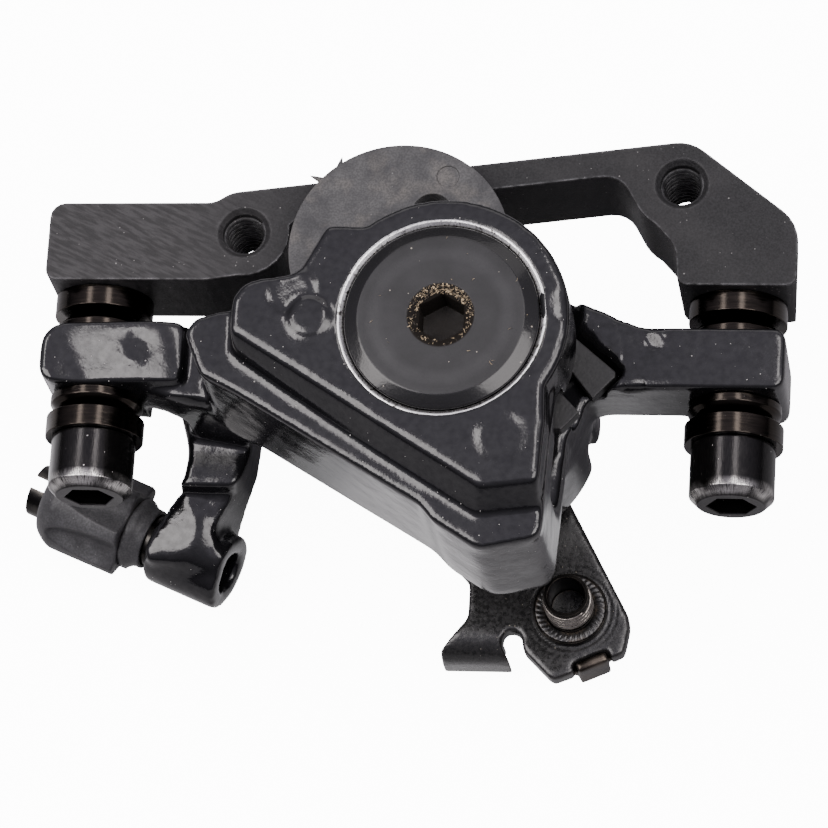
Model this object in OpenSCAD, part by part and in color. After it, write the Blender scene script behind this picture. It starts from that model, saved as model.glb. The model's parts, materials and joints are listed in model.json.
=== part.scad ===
// Cable-pulled disc brake caliper on a two-hole frame adapter.
// Z is the rotor axis with the wheel side up, X runs along the two mount bolts,
// Y points to the rotor's axle. The origin is on the pad axis in the rotor's middle plane.

/* [Mount bolts] */
// Distance between the two mount bolts
post_spacing = 74.2; // [70:0.1:78]
// Middle of the two mount bolts along X
post_mid_x = -5.8; // [-8:0.1:-4]
// Height of the mount bolt axes
post_z = -9; // [-10:0.1:-8.5]
// Radius of the mount bolt's shank
bolt_r = 3; // [2.5:0.1:3.2]
// Radius of the mount bolt's head
bolt_head_r = 4.9; // [4.5:0.1:5.3]
// Height of the mount bolt's head
bolt_head_h = 7; // [6:0.1:7.4]
// Width of the bolt's hex socket across its flats
bolt_socket_af = 5; // [4:0.5:6]
// Depth of the bolt's hex socket
bolt_socket_depth = 3.2; // [2.5:0.1:4]
// Length of thread that the bolt holds in the adapter
bolt_grip = 8; // [6:0.1:8.5]

/* [Spherical washers] */
// Radius of the cup washers
cup_r = 5.7; // [5.6:0.05:6]
// Radius of the ball washers
ball_washer_r = 5.4; // [5.2:0.05:5.5]
// Height of the ball washer's straight rim
ball_rim_h = 1; // [0.8:0.1:1.3]
// Radius of the ball washer's dome
dome_r = 7; // [6.6:0.1:7.6]
// Height of one pair of cup and ball washers
washer_stack_h = 5; // [4.7:0.1:5.4]
// Clearance of the washers around the bolt
washer_hole_gap = 0.4; // [0.3:0.05:0.5]

/* [Adapter] */
// Height of the adapter's wheel-side face
adapter_front_z = -2.2; // [-2.6:0.1:-1.8]
// Thickness of the adapter
adapter_thick = 11.6; // [11.2:0.1:12.6]
// Distance between the frame holes
frame_hole_spacing = 51; // [50:0.1:52]
// Middle of the frame holes along X
frame_mid_x = -0.6; // [-1.5:0.1:0.5]
// Middle of the frame holes along Y
frame_mid_y = 19.9; // [19.5:0.1:20.5]
// Slope of the line through the frame holes, in degrees
frame_slope = 7.3; // [6:0.1:8.5]
// Radius of the frame hole's thread wall
frame_hole_r = 2.5; // [2.2:0.05:2.8]
// Radius of the countersink at a frame hole's mouth
frame_sink_r = 3.1; // [2.9:0.05:3.4]
// Wall around the frame holes
frame_boss_r = 5.4; // [5:0.1:5.8]
// Width of the adapter's bar
bar_w = 3.3; // [2.8:0.1:4]
// Height of the adapter's left block
left_block_h = 9.6; // [9.2:0.1:10.2]
// Reach of the adapter's blocks past the bolts
block_reach = 6; // [5.6:0.1:6.6]

/* [Ears] */
// Upper face of the ears along Y
ear_top_y = 5.6; // [5:0.1:6]
// Thickness of the ears along the bolts
ear_thick = 7.4; // [6.8:0.1:7.8]
// Height of the ears' wheel-side face
ear_front_z = -2.5; // [-3:0.1:-2.2]
// Depth of the ears along the rotor axis
ear_depth = 12.5; // [11.5:0.1:13.5]
// Reach of the ears past the bolts
ear_reach = 6; // [5.7:0.1:6.3]
// Width of the slot in the ears
ear_slot_w = 6.6; // [6.5:0.1:7]
// Length of the slot in the ears
ear_slot_l = 9.6; // [8:0.1:10]

/* [Caliper body] */
// Height of the machined face around the pad adjuster
face_z = 14; // [13.8:0.1:15]
// Height of the ledge below the upper face
ledge_z = 10; // [9:0.1:10.5]
// Outboard face of the bridge
bridge_back_z = -8.2; // [-9:0.1:-7.8]
// Radius of the collar around the adjuster
collar_r = 14.3; // [13.9:0.1:14.8]
// Radius of the outboard housing
housing_r = 14.7; // [14.3:0.1:15]
// Width of the sloped step between the upper face and the ledge
slope_run = 2.3; // [1.8:0.1:2.6]
// Width of the machined chamfer at the adjuster's bore
rim_chamfer = 0.6; // [0.4:0.05:0.8]
// Radius of the round pip on the upper face
pip_r = 2.2; // [1.8:0.1:2.6]
// Height of the round pip
pip_h = 0.5; // [0.3:0.1:0.8]

/* [Rotor] */
// Radius of the rotor that the slot is cut for
rotor_r = 80; // [79:0.5:80.5]
// Clearance around the rotor's rim
rotor_rim_gap = 2; // [1.5:0.1:2.3]
// Axle of the rotor along X
axle_x = 18.6; // [17:0.1:20]
// Axle of the rotor along Y
axle_y = 65.3; // [64.8:0.1:66]
// Width of the rotor slot
slot_w = 7.8; // [7.4:0.1:8.2]

/* [Brake pads] */
// Thickness of a pad's steel plate
plate_t = 1.6; // [1.4:0.1:1.8]
// Radius of a pad's plate
plate_r = 10.2; // [10:0.05:10.4]
// Thickness of a pad's lining
lining_t = 2; // [1.8:0.1:2.2]
// Radius of a pad's lining
lining_r = 9.4; // [8.5:0.1:9.9]
// Gap between the fixed pad and the spacer
fixed_pad_gap = 0.5; // [0.45:0.05:0.7]
// Gap between the moving pad and the spacer
moving_pad_gap = 1; // [0.95:0.05:1.2]
// Radius of the pad magnets
magnet_r = 3.2; // [2.5:0.1:3.8]
// Thickness of the pad magnets
magnet_t = 1.2; // [0.8:0.1:1.4]

/* [Pad adjuster] */
// Radius of the adjuster's thread
plug_r = 11; // [10.8:0.05:11.2]
// Radius of the adjuster's flat face
plug_face_r = 9.4; // [9:0.1:9.8]
// Height of the adjuster's face above the machined rim
plug_proud = 0.6; // [0.3:0.1:1]
// Length of the adjuster's nose
nose_l = 2; // [1.8:0.1:2.4]
// Radius of the adjuster's nose
nose_r = 8.5; // [7.5:0.1:9.5]
// Width of the adjuster's hex socket across its flats
key_af = 5; // [4:0.5:6]
// Depth of the adjuster's hex socket
key_depth = 4.5; // [3.5:0.1:4.8]
// Radius of the countersink at the socket
key_sink_r = 3.8; // [3.6:0.1:4.4]
// Radius of the adjuster's sealing cord
o_ring_r = 0.65; // [0.5:0.05:0.8]

/* [Ball ramp drive] */
// Radius of the drive's bore
drive_bore_r = 10; // [9.8:0.1:10.3]
// Thickness of the pressure foot
foot_t = 4; // [3.6:0.1:4.5]
// Radius of the steel balls
ball_r = 2; // [1.8:0.1:2.2]
// Number of steel balls
ball_count = 3; // [3:1:4]
// Radius of the circle that the balls run on
ball_circle_r = 6.6; // [6.3:0.1:6.9]
// Travel of the pressure foot
foot_travel = 0.9; // [0.6:0.05:0.9]
// Turn of the lever, in degrees
lever_turn = 30; // [20:1:32]
// Thickness of the cam flange
flange_t = 4; // [3.6:0.1:4.5]
// Radius of the cam shaft
shaft_r = 5; // [4.6:0.1:5.2]
// Thickness of the thrust washer
thrust_t = 1; // [0.8:0.1:1.2]
// Wall of the shaft bush
bush_wall = 1.5; // [1.2:0.1:1.6]
// Length of the shaft bush
bush_l = 6; // [5:0.1:6.4]
// Height of the dust seal
seal_h = 2; // [1.6:0.1:2.2]

/* [Return spring] */
// Radius of the spring wire
wire_r = 0.65; // [0.5:0.05:0.7]
// Radius of the spring's coils
coil_r = 10.2; // [10:0.05:10.4]
// Rise of one coil
coil_pitch = 1.9; // [1.8:0.05:2]
// Number of coils
coil_turns = 2.5; // [1.5:0.5:2.5]

/* [Lever] */
// Thickness of the lever plate
lever_t = 2.5; // [2:0.1:3]
// Radius of the lever's root disc
lever_root_r = 12.7; // [12.4:0.1:13]
// Pinch bolt's place on the lever along X
pinch_x = 11.9; // [11.7:0.05:12.1]
// Pinch bolt's place on the lever along Y
pinch_y = -21.5; // [-21.7:0.05:-21.3]
// Radius of the pinch bolt's shank
pinch_r = 2.1; // [1.9:0.1:2.3]
// Radius of the pinch bolt's head
pinch_head_r = 4.2; // [4:0.1:4.5]
// Height of the pinch bolt's head
pinch_head_h = 3.6; // [3:0.1:4]
// Height of the pinch collar's stub
stub_h = 5.8; // [5:0.1:6.2]
// Thickness of the pinch washer
pinch_washer_t = 1.5; // [1.2:0.1:1.8]
// Height of the lever bolt's head
lever_head_h = 3.4; // [3:0.1:4]

/* [Cable stop] */
// Mouth of the cable stop along X
stop_x = -28.7; // [-29.2:0.1:-28.2]
// Mouth of the cable stop along Y
stop_y = -17.1; // [-17.6:0.1:-16.6]
// Height of the cable's line through the stop
stop_z = -26; // [-26.5:0.1:-25]
// Slope of the cable's line, in degrees
stop_slope = 23.2; // [21:0.1:25]
// Radius of the stop's boss
stop_r = 4.6; // [4.4:0.1:5]
// Length of the stop's boss
stop_l = 9.5; // [8.5:0.1:10.5]
// Radius of the barrel adjuster's thread
barrel_r = 3.15; // [3.05:0.05:3.4]
// Radius of the cable housing's seat
housing_seat_r = 2.55; // [2.5:0.01:2.6]
// Depth of the cable housing's seat
housing_seat_l = 8; // [6:0.1:9]
// Radius of the inner cable's hole
cable_hole_r = 1.1; // [0.9:0.1:1.4]
// Radius of the barrel adjuster's knob
knob_r = 5.8; // [5.6:0.1:6.1]
// Length of the knob
knob_l = 10.8; // [9.8:0.1:11.8]
// Number of finger grooves on the knob
knob_grooves = 6; // [5:1:7]
// Radius of the friction ring
ring_r = 4.1; // [3.9:0.1:4.5]
// Length of the friction ring
ring_l = 2.6; // [2.2:0.1:3]
// Gap between the friction ring and the stop
ring_gap = 1; // [0.9:0.05:1.3]

/* [Transport spacer] */
// Radius of the spacer
spacer_r = 12.8; // [12:0.1:13.5]
// Thickness of the spacer
spacer_t = 2; // [1.8:0.1:2.2]
// Middle of the spacer along X
spacer_x = -7.2; // [-8:0.1:-6]
// Middle of the spacer along Y
spacer_y = 13.6; // [13:0.1:14.5]
// Radius of the hole in the spacer
spacer_hole_r = 2.3; // [2:0.1:2.6]

/* [Hidden] */
$fn = 64;

// Clearances: a fit that slides or turns, a fit that is pressed, and free air
run_gap = 0.05;
press_gap = 0.02;
air_gap = 0.3;
// Overshoot of a cut past the face that it opens
cut = 1;
// Reach of a cut that leaves the body altogether
far = 60;

// Mount bolts and washers along Y
bolt_left_x = post_mid_x - post_spacing / 2;
bolt_right_x = post_mid_x + post_spacing / 2;
bolt_xs = [bolt_left_x, bolt_right_x];
ear_bottom_y = ear_top_y - ear_thick;
post_face_y = ear_top_y + washer_stack_h;
head_seat_y = ear_bottom_y - washer_stack_h;
head_end_y = head_seat_y - bolt_head_h;
bolt_tip_y = post_face_y + bolt_grip;
bolt_edge = 1;
dome_centre_h = ball_rim_h - sqrt(dome_r * dome_r - ball_washer_r * ball_washer_r);
cup_rim_h = ball_rim_h + 1.5;
washer_hole_r = bolt_r + washer_hole_gap;

// Adapter
adapter_back_z = adapter_front_z - adapter_thick;
frame_dir = [cos(frame_slope), sin(frame_slope)];
frame_up = [-sin(frame_slope), cos(frame_slope)];
frame_mid = [frame_mid_x, frame_mid_y];
hole_left = frame_mid - frame_dir * frame_hole_spacing / 2;
hole_right = frame_mid + frame_dir * frame_hole_spacing / 2;
bar_top = 5.2;
bar_bottom = bar_top - bar_w;
adapter_left_x = bolt_left_x - block_reach;
adapter_right_x = bolt_right_x + block_reach + 1;
leg_left_x = bolt_right_x - block_reach - 0.7;
right_draft = 0.7;

// Ears
ear_back_z = ear_front_z - ear_depth;
ear_left_x = bolt_left_x - ear_reach;
ear_right_x = bolt_right_x + ear_reach;
arm_back_z = -12.5;
arch_r = 4.8;
arch_x = 12.3;
window_x = -35;
window_r = 2.3;
dish_r = 18.6;

// Pads and spacer, heights from the rotor's middle plane
spacer_half = spacer_t / 2;
fixed_lining_z = spacer_half + fixed_pad_gap;
fixed_plate_z = fixed_lining_z + lining_t;
fixed_back_z = fixed_plate_z + plate_t;
moving_lining_z = -spacer_half - moving_pad_gap;
moving_plate_z = moving_lining_z - lining_t;
moving_back_z = moving_plate_z - plate_t;
pocket_r = plate_r + air_gap;
fixed_pocket_z = fixed_back_z + 1.4;
moving_pocket_z = moving_back_z - air_gap;
fixed_tab = [[5, 0], [13, -5.7], [15, -7.8], [13, -10], [11.3, -9.6], [3, -8]];
moving_tab = [[4, 9], [9, 8.1], [13.2, 4.6], [17.9, 0.6], [17.9, -0.1], [15.4, -2.8], [12.9, 0.4], [7, -5]];

// Pad adjuster
plug_bore_r = plug_r + run_gap;
plug_face_z = face_z + plug_proud;
plug_shoulder_z = fixed_back_z + nose_l;
plug_edge_z = face_z - 0.25;
o_ring_z = plug_shoulder_z + 2;
o_ring_centre_r = plug_r - o_ring_r;

// Ball ramp drive, heights going outboard
foot_back_z = moving_back_z - foot_t;
foot_r = drive_bore_r - run_gap;
ball_rise = foot_travel + 0.1;
ball_z = foot_back_z + ball_rise - ball_r;
flange_gap = 1.2;
flange_front_z = foot_back_z - flange_gap;
flange_back_z = flange_front_z - flange_t;
flange_r = drive_bore_r - air_gap;
drive_floor_z = flange_back_z - thrust_t;
bush_r = shaft_r + run_gap + bush_wall;
bush_end_z = drive_floor_z - bush_l;
seal_r = bush_r + 0.5;
housing_back_z = bush_end_z - seal_h;
key_w = 3;
key_reach = 1.3;
ramp_arc = ball_circle_r * lever_turn * PI / 180;
ramp_slope = atan(foot_travel / ramp_arc);
ramp_gap = 0.25;
ramp_line_r = ball_circle_r * (1 + cos(lever_turn / 2)) / 2;

// Lever stack, heights going outboard
lever_front_z = housing_back_z - 0.6;
lever_back_z = lever_front_z - lever_t;
drive_flat = shaft_r * 1.6;
lever_washer_t = 1;
lever_washer_r = 7;
lever_bolt_r = 3;
lever_bolt_l = 9;
lever_head_r = 5;
lever_socket_af = 4;
lever_head_z = lever_back_z - lever_washer_t;
pinch = [pinch_x, pinch_y];
collar_rim_w = 2.25;
collar_flange_r = pinch_r + collar_rim_w;
collar_flange_t = 0.9;
stub_r = pinch_r + 0.55;
pinch_head_z = lever_back_z - pinch_washer_t;
stub_mouth_depth = 4.2;
pinch_tip_z = lever_front_z + stub_h - stub_mouth_depth;
pinch_washer_w = 8.4;
pinch_washer_reach = 6.3;
pinch_tilt = 24;
tab_w = 3.8;
tab_reach = 7.55;
tab_t = 1.3;
finger_bend_r = 0.8;
finger_bend_y = pinch_y - 2.45;
finger_lip_z = lever_back_z - 2.8;
finger_left = pinch_x - 15.15;
finger_right = pinch_x - 7.05;

// Return spring in its groove
coil_steps = 8;
wire_sides = 6;
groove_inner_r = coil_r * cos(180 / coil_steps) - wire_r - air_gap;
groove_outer_r = coil_r + wire_r + air_gap;
coil_top_z = housing_back_z + air_gap + 2 * wire_r + coil_turns * coil_pitch;
groove_floor_z = coil_top_z + wire_r + air_gap;
spring_out_angle = -11;
spring_leg_r = housing_r - 0.4;
spring_leg_down = wire_r + air_gap + 0.6 + lever_t * 0.7;

// Cable stop and barrel adjuster, measured along the cable's line from the stop's mouth
stop_mouth_l = 2;
ring_start = stop_l + ring_gap;
knob_start = ring_start + ring_l;
knob_end = knob_start + knob_l;
barrel_end = knob_end + 2.2;
barrel_tip = 4;
barrel_bore_r = barrel_r + run_gap;
barrel_slot_w = 1.6;
groove_cut_r = 3.2;

// Outline helpers: an arc about a point, one rounded corner, and a whole rounded outline
function unit(v) = v / norm(v);
function arc(centre, r, from, to, steps) =
    [for (i = [0 : steps]) let (a = from + (to - from) * i / steps) centre + r * [cos(a), sin(a)]];
function corner(a, b, c, r, steps) = let (
    u = unit(a - b),
    v = unit(c - b),
    half = acos(u * v) / 2,
    centre = b + unit(u + v) * r / sin(half),
    start = b + u * r / tan(half) - centre,
    end = b + v * r / tan(half) - centre,
    from = atan2(start[1], start[0]),
    sweep = (atan2(end[1], end[0]) - from + 540) % 360 - 180
) arc(centre, r, from, from + sweep, steps);
function flat(p) = [p[0], p[1]];
function rounded(points, steps = 4) = let (n = len(points)) [
    for (i = [0 : n - 1])
        each (points[i][2] > 0
            ? corner(flat(points[(i + n - 1) % n]), flat(points[i]), flat(points[(i + 1) % n]), points[i][2], steps)
            : [flat(points[i])])
];

// A plate of the given outline between two heights
module plate(points, low, high) {
    translate([0, 0, low]) linear_extrude(high - low) polygon(points);
}

// A cylinder between two heights
module rod(r, low, high) {
    translate([0, 0, low]) cylinder(r = r, h = high - low);
}

// A hexagonal prism between two heights, sized across its flats
module hex(af, low, high) {
    translate([0, 0, low]) cylinder(r = af / sqrt(3), h = high - low, $fn = 6);
}

// Turns the height axis to run along a mount bolt, with height 0 at Y = 0
module along_bolt(x) {
    translate([x, 0, post_z]) rotate([-90, 0, 0]) children();
}

// Turns the height axis to run along the cable's line, with height 0 at the stop's mouth
module along_cable() {
    translate([stop_x, stop_y, stop_z]) rotate([0, 0, 180 - stop_slope]) rotate([0, 90, 0]) children();
}

// Cuts a slope that falls outward from the edge that runs from a to b
module slope_cut(a, b, run, rise) {
    d = b - a;
    translate([a[0], a[1], face_z])
        rotate([0, 0, atan2(d[1], d[0])])
            rotate([-atan(rise / run), 0, 0])
                translate([-far, 0, 0]) cube([2 * far + norm(d), far, far]);
}

// Outlines of the caliper body
upper_left = [-22.7, -2.3];
upper_low = [5.3, -19.8];
upper_right = [11.6, -19];
function upper_outline() = rounded([
    [-24, 4.2, 3.6], [-23.8, -3.2, 1], [4.6, -22.4, 1.2], [11.7, -21.5, 1.2], [12.2, -12, 3],
    [11.9, -7, 4], [13.2, -3, 0], [9, 10.8, 0], [-9.2, 10.9, 0], [-13.6, 11.2, 1.2], [-16.6, 5.1, 2.4]
]);
function block_outline() = rounded([
    [-25.4, 2.2, 1], [-28.6, 1.2, 1.2], [-29.7, -0.6, 1], [-27.6, -5.6, 1.6], [-23.5, -7.7, 2],
    [-1.9, -20.6, 2], [-0.3, -22.5, 2], [4.9, -25.8, 2.4], [11.9, -24.3, 1.6], [12.6, -10, 3], [13, -3, 0], [4, 4, 0]
]);

// Wheel-side half of the body down to the bridge, before the slot is cut
module body_block() {
    plate(block_outline(), bridge_back_z, ledge_z);
    difference() {
        plate(upper_outline(), 0, face_z);
        slope_cut(upper_low, upper_left, slope_run, face_z - ledge_z);
        slope_cut(upper_right, upper_low, slope_run, face_z - ledge_z);
    }
    rod(collar_r, 0, face_z);
    rod(housing_r, housing_back_z, 0);
    translate([-14.9, -0.2, 0]) rod(pip_r, 0, face_z + pip_h);
}

// Rotor slot and the pockets that the two pads drop into
module pad_room() {
    translate([axle_x, axle_y, 0]) rod(rotor_r + rotor_rim_gap, -slot_w / 2, slot_w / 2);
    rod(pocket_r, moving_pocket_z, fixed_pocket_z);
    plate([for (p = fixed_tab) p * (1 + air_gap / 5)], 0, fixed_pocket_z);
    plate([[4, 10], [far, 10], [far, -6], [4, -6]], moving_pocket_z, 0);
}

// Bores for the adjuster on one side and the ball ramp drive on the other
module body_bores() {
    rod(plug_bore_r, fixed_pocket_z, face_z + cut);
    translate([0, 0, face_z - rim_chamfer])
        cylinder(r1 = plug_bore_r, r2 = plug_bore_r + 2 * rim_chamfer, h = 2 * rim_chamfer);
    rod(drive_bore_r, drive_floor_z, 0);
    translate([-drive_bore_r - key_reach - air_gap, -key_w / 2 - run_gap, drive_floor_z])
        cube([drive_bore_r, key_w + 2 * run_gap, -drive_floor_z]);
    rod(bush_r + press_gap, housing_back_z - cut, 0);
    rod(seal_r + press_gap, housing_back_z - cut, bush_end_z);
    difference() {
        rod(groove_outer_r, housing_back_z - cut, groove_floor_z);
        rod(groove_inner_r, housing_back_z - 2 * cut, groove_floor_z + cut);
    }
    rotate([0, 0, spring_out_angle])
        translate([coil_r, -1, housing_back_z - cut]) cube([far, 2, groove_floor_z - housing_back_z + cut]);
}

// Arm on the right with its slotted ear, dished where the moving pad's tab lies
module right_ear() {
    difference() {
        plate(rounded([
            [30, ear_bottom_y, 0], [30, ear_top_y, 0], [21, ear_top_y, 5], [13.6, 8.9, 4],
            [9, 12, 0], [9, -14, 0], [arch_x, -9, 0], [arch_x, ear_bottom_y, arch_r]
        ], 8), arm_back_z, ear_front_z);
        translate([0, 0, moving_pocket_z])
            cylinder(r1 = dish_r, r2 = dish_r + 3, h = ear_front_z + 0.1 - moving_pocket_z);
    }
    plate(rounded([
        [ear_right_x, ear_bottom_y, 1.4], [ear_right_x, ear_top_y, 1.4],
        [bolt_right_x - ear_reach, ear_top_y, 1], [bolt_right_x - ear_reach, ear_bottom_y, 1]
    ]), ear_back_z, ear_front_z);
}

// Arm on the left with its slotted ear, arched at the back beside the stop's arm
module left_ear() {
    difference() {
        union() {
            plate(rounded([
                [-38, ear_bottom_y, 0], [-33, ear_bottom_y - 1.6, 1], [-24, -5, 0], [-10, -6, 0],
                [-8, 11, 0], [-14, 8, 3], [-20, ear_top_y, 3], [-38, ear_top_y, 0]
            ]), ear_back_z, ear_front_z - 1.4);
            plate(rounded([
                [ear_left_x, ear_bottom_y, 2], [-32, ear_bottom_y, 1], [-32, ear_top_y, 1], [ear_left_x, ear_top_y, 3]
            ]), ear_back_z, ear_front_z);
        }
        translate([window_x, -far, arm_back_z]) rotate([-90, 0, 0]) cylinder(r = window_r, h = 2 * far);
        translate([window_x - window_r, -far, arm_back_z - far]) cube([2 * window_r, 2 * far, far]);
    }
}

// Both ears with the slots for the mount bolts
module ears() {
    difference() {
        union() {
            right_ear();
            left_ear();
        }
        for (x = bolt_xs) along_bolt(x) ear_slot();
    }
}

// Slot for one mount bolt, long along the rotor axis
module ear_slot() {
    half = (ear_slot_l - ear_slot_w) / 2;
    for (side = [-half, half]) translate([0, side, 0]) rod(ear_slot_w / 2, -far, far);
    translate([-ear_slot_w / 2, -half, -far]) cube([ear_slot_w, 2 * half, 2 * far]);
}

// Arm that drops outboard from the left ear and carries the cable stop
module stop_arm() {
    intersection() {
        plate(rounded([
            [-35, 2, 0], [-33.1, -5, 8], [-33.5, -8.6, 3], [-35.4, -11.3, 2], [-38.3, -15.6, 1], [-38, -17.4, 0],
            [-29.4, -18.1, 0], [-29.8, -13.4, 2], [-26.6, -8.2, 2], [-25.8, -5.6, 3], [-25, 2, 0]
        ]), stop_z - stop_r, ear_front_z);
        rotate([90, 0, 90]) translate([0, 0, -far])
            linear_extrude(2 * far) polygon([
                [4, ear_front_z - 3.7], [-1.7, ear_front_z - 3.7], [-1.7, ear_back_z - 0.5],
                [-9.4, ear_back_z - 0.5], [-9.9, stop_z + 6.6], [-17.5, stop_z + stop_r],
                [-26, stop_z + stop_r], [-26, stop_z - stop_r], [-12, stop_z - stop_r],
                [-8.2, ear_back_z - 9.5], [4, ear_back_z - 7]
            ]);
    }
    along_cable() rod(stop_r, 0, stop_l);
}

module caliper_body() {
    color("#1b1c20") difference() {
        union() {
            difference() {
                body_block();
                pad_room();
            }
            difference() {
                union() {
                    ears();
                    stop_arm();
                }
                rod(housing_r - cut, -far, far);
            }
        }
        body_bores();
        along_cable() {
            rod(barrel_bore_r, stop_mouth_l, stop_l + cut);
            rod(barrel_r - 0.7, -cut, stop_l);
            rod(ring_r + air_gap, stop_l, far);
        }
    }
}

module pad_adjuster() {
    color("#26272a") difference() {
        union() {
            rod(nose_r, fixed_back_z, plug_shoulder_z + cut);
            rod(plug_r, plug_shoulder_z, plug_edge_z);
            translate([0, 0, plug_edge_z])
                cylinder(r1 = plug_r, r2 = plug_face_r, h = plug_face_z - plug_edge_z);
        }
        rod(magnet_r + press_gap, fixed_back_z - cut, fixed_back_z + magnet_t);
        hex(key_af, plug_face_z - key_depth, plug_face_z + cut);
        translate([0, 0, plug_face_z - 1])
            cylinder(r1 = key_af / 2, r2 = 2 * key_sink_r - key_af / 2, h = 2);
        rotate_extrude() translate([o_ring_centre_r, o_ring_z]) circle(r = o_ring_r + press_gap);
        rotate_extrude() translate([o_ring_centre_r, o_ring_z - o_ring_r - press_gap])
            square([2, 2 * o_ring_r + 2 * press_gap]);
    }
}

module adjuster_o_ring() {
    color("#111111") rotate_extrude() translate([o_ring_centre_r, o_ring_z]) circle(r = o_ring_r);
}

module inboard_magnet() {
    color("#8c8f94") rod(magnet_r, fixed_back_z, fixed_back_z + magnet_t);
}

// A pad's steel plate with the tab that it is pulled out by
module pad_plate(tab, low) {
    rod(plate_r, low, low + plate_t);
    plate(tab, low, low + plate_t);
}

module inboard_pad_plate() {
    color("#2b2b2c") pad_plate(fixed_tab, fixed_plate_z);
}

module inboard_pad_lining() {
    color("#5a5148") rod(lining_r, fixed_lining_z, fixed_plate_z);
}

module outboard_pad_plate() {
    color("#3a3a3b") pad_plate(moving_tab, moving_back_z);
}

module outboard_pad_lining() {
    color("#5a5148") rod(lining_r, moving_plate_z, moving_lining_z);
}

module outboard_magnet() {
    color("#8c8f94") rod(magnet_r, moving_back_z - magnet_t, moving_back_z);
}

// Disc that pushes the moving pad, keyed against turning, with a ramp for each ball
module pressure_foot() {
    color("#9a9da2") difference() {
        union() {
            rod(foot_r, foot_back_z, moving_back_z);
            translate([-foot_r - key_reach, -key_w / 2, foot_back_z]) cube([foot_r, key_w, foot_t]);
        }
        rod(magnet_r + press_gap, moving_back_z - magnet_t, moving_back_z + cut);
        for (i = [0 : ball_count - 1]) rotate([0, 0, i * 360 / ball_count + 90 - lever_turn / 2])
            translate([ramp_line_r, 0, ball_z - foot_travel / 2]) rotate([ramp_slope, 0, 0]) ramp();
    }
}

// One ball's ramp: a round-ended groove a little wider than the ball
module ramp() {
    half = ramp_arc / 2 + air_gap;
    r = ball_r + ramp_gap;
    rotate([90, 0, 0]) rod(r, -half, half);
    for (end = [-half, half]) translate([0, end, 0]) sphere(r = r);
}

module ramp_balls() {
    color("#c9ccd0") for (i = [0 : ball_count - 1]) rotate([0, 0, i * 360 / ball_count + 90])
        translate([ball_circle_r, 0, ball_z]) sphere(r = ball_r);
}

// Cam flange with a pocket for each ball, on the shaft that the lever turns
module cam_shaft() {
    color("#85888d") difference() {
        union() {
            rod(flange_r, flange_back_z, flange_front_z);
            rod(shaft_r, lever_front_z, flange_front_z);
            intersection() {
                rod(shaft_r, lever_back_z + 0.1, lever_front_z + cut);
                translate([-drive_flat / 2, -far, -far]) cube([drive_flat, 2 * far, 2 * far]);
            }
        }
        for (i = [0 : ball_count - 1]) rotate([0, 0, i * 360 / ball_count + 90])
            translate([ball_circle_r, 0, ball_z]) sphere(r = ball_r + run_gap);
        rod(lever_bolt_r + press_gap, lever_back_z - cut, lever_head_z + lever_bolt_l + 0.5);
    }
}

module thrust_washer() {
    color("#b08a4a") difference() {
        rod(flange_r, drive_floor_z, flange_back_z);
        rod(shaft_r + air_gap, drive_floor_z - cut, flange_back_z + cut);
    }
}

module shaft_bush() {
    color("#b08a4a") difference() {
        rod(bush_r, bush_end_z, drive_floor_z);
        rod(shaft_r + run_gap, bush_end_z - cut, drive_floor_z + cut);
    }
}

module dust_seal() {
    color("#141414") difference() {
        rod(seal_r, housing_back_z, bush_end_z);
        rod(shaft_r + run_gap, housing_back_z - cut, bush_end_z + cut);
    }
}

// Spring wire's middle line: a leg out through the notch, the coils, and a leg down into the lever
function coil_point(a, z) = [coil_r * cos(a), coil_r * sin(a), z];
function spring_out() = [for (r = [spring_leg_r, (spring_leg_r + coil_r) / 2])
    [r * cos(spring_out_angle), r * sin(spring_out_angle), coil_top_z]];
function spring_coils() = [for (i = [0 : coil_turns * coil_steps])
    coil_point(spring_out_angle + i * 360 / coil_steps, coil_top_z - i * coil_pitch / coil_steps)];
spring_end_angle = spring_out_angle + coil_turns * 360;
spring_end_z = coil_top_z - coil_turns * coil_pitch;
function spring_down() = [for (step = [0.5, 1])
    coil_point(spring_end_angle + 4, spring_end_z - step * (spring_leg_down + wire_r))];
spring_line = concat(spring_out(), spring_coils(), spring_down());
spring_side = [-sin(spring_end_angle), cos(spring_end_angle), 0];
spring_rings = len(spring_line);
function spring_tangent(i) =
    unit(spring_line[min(i + 1, spring_rings - 1)] - spring_line[max(i - 1, 0)]);
function spring_up(i) = let (t = spring_tangent(i), ref = i < spring_rings - 2 ? [0, 0, 1] : spring_side)
    unit(ref - t * (ref * t));
spring_gap = min([for (i = [0 : spring_rings - 1]) for (j = [i + 5 : 1 : spring_rings - 1])
    norm(spring_line[i] - spring_line[j])]) - 2 * wire_r;
echo(spring_least_gap = spring_gap);

module return_spring() {
    points = [for (i = [0 : spring_rings - 1]) let (n = spring_up(i), b = cross(spring_tangent(i), n))
        for (k = [0 : wire_sides - 1])
            spring_line[i] + wire_r * (n * cos(k * 360 / wire_sides) + b * sin(k * 360 / wire_sides))];
    walls = [for (i = [0 : spring_rings - 2]) for (k = [0 : wire_sides - 1])
        let (p = i * wire_sides + k, q = i * wire_sides + (k + 1) % wire_sides)
            each [[p, p + wire_sides, q], [q, p + wire_sides, q + wire_sides]]];
    last = (spring_rings - 1) * wire_sides;
    caps = [for (k = [1 : wire_sides - 2]) each [[0, k, k + 1], [last, last + k + 1, last + k]]];
    color("#a9adb3") polyhedron(points, concat(walls, caps));
}

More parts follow.
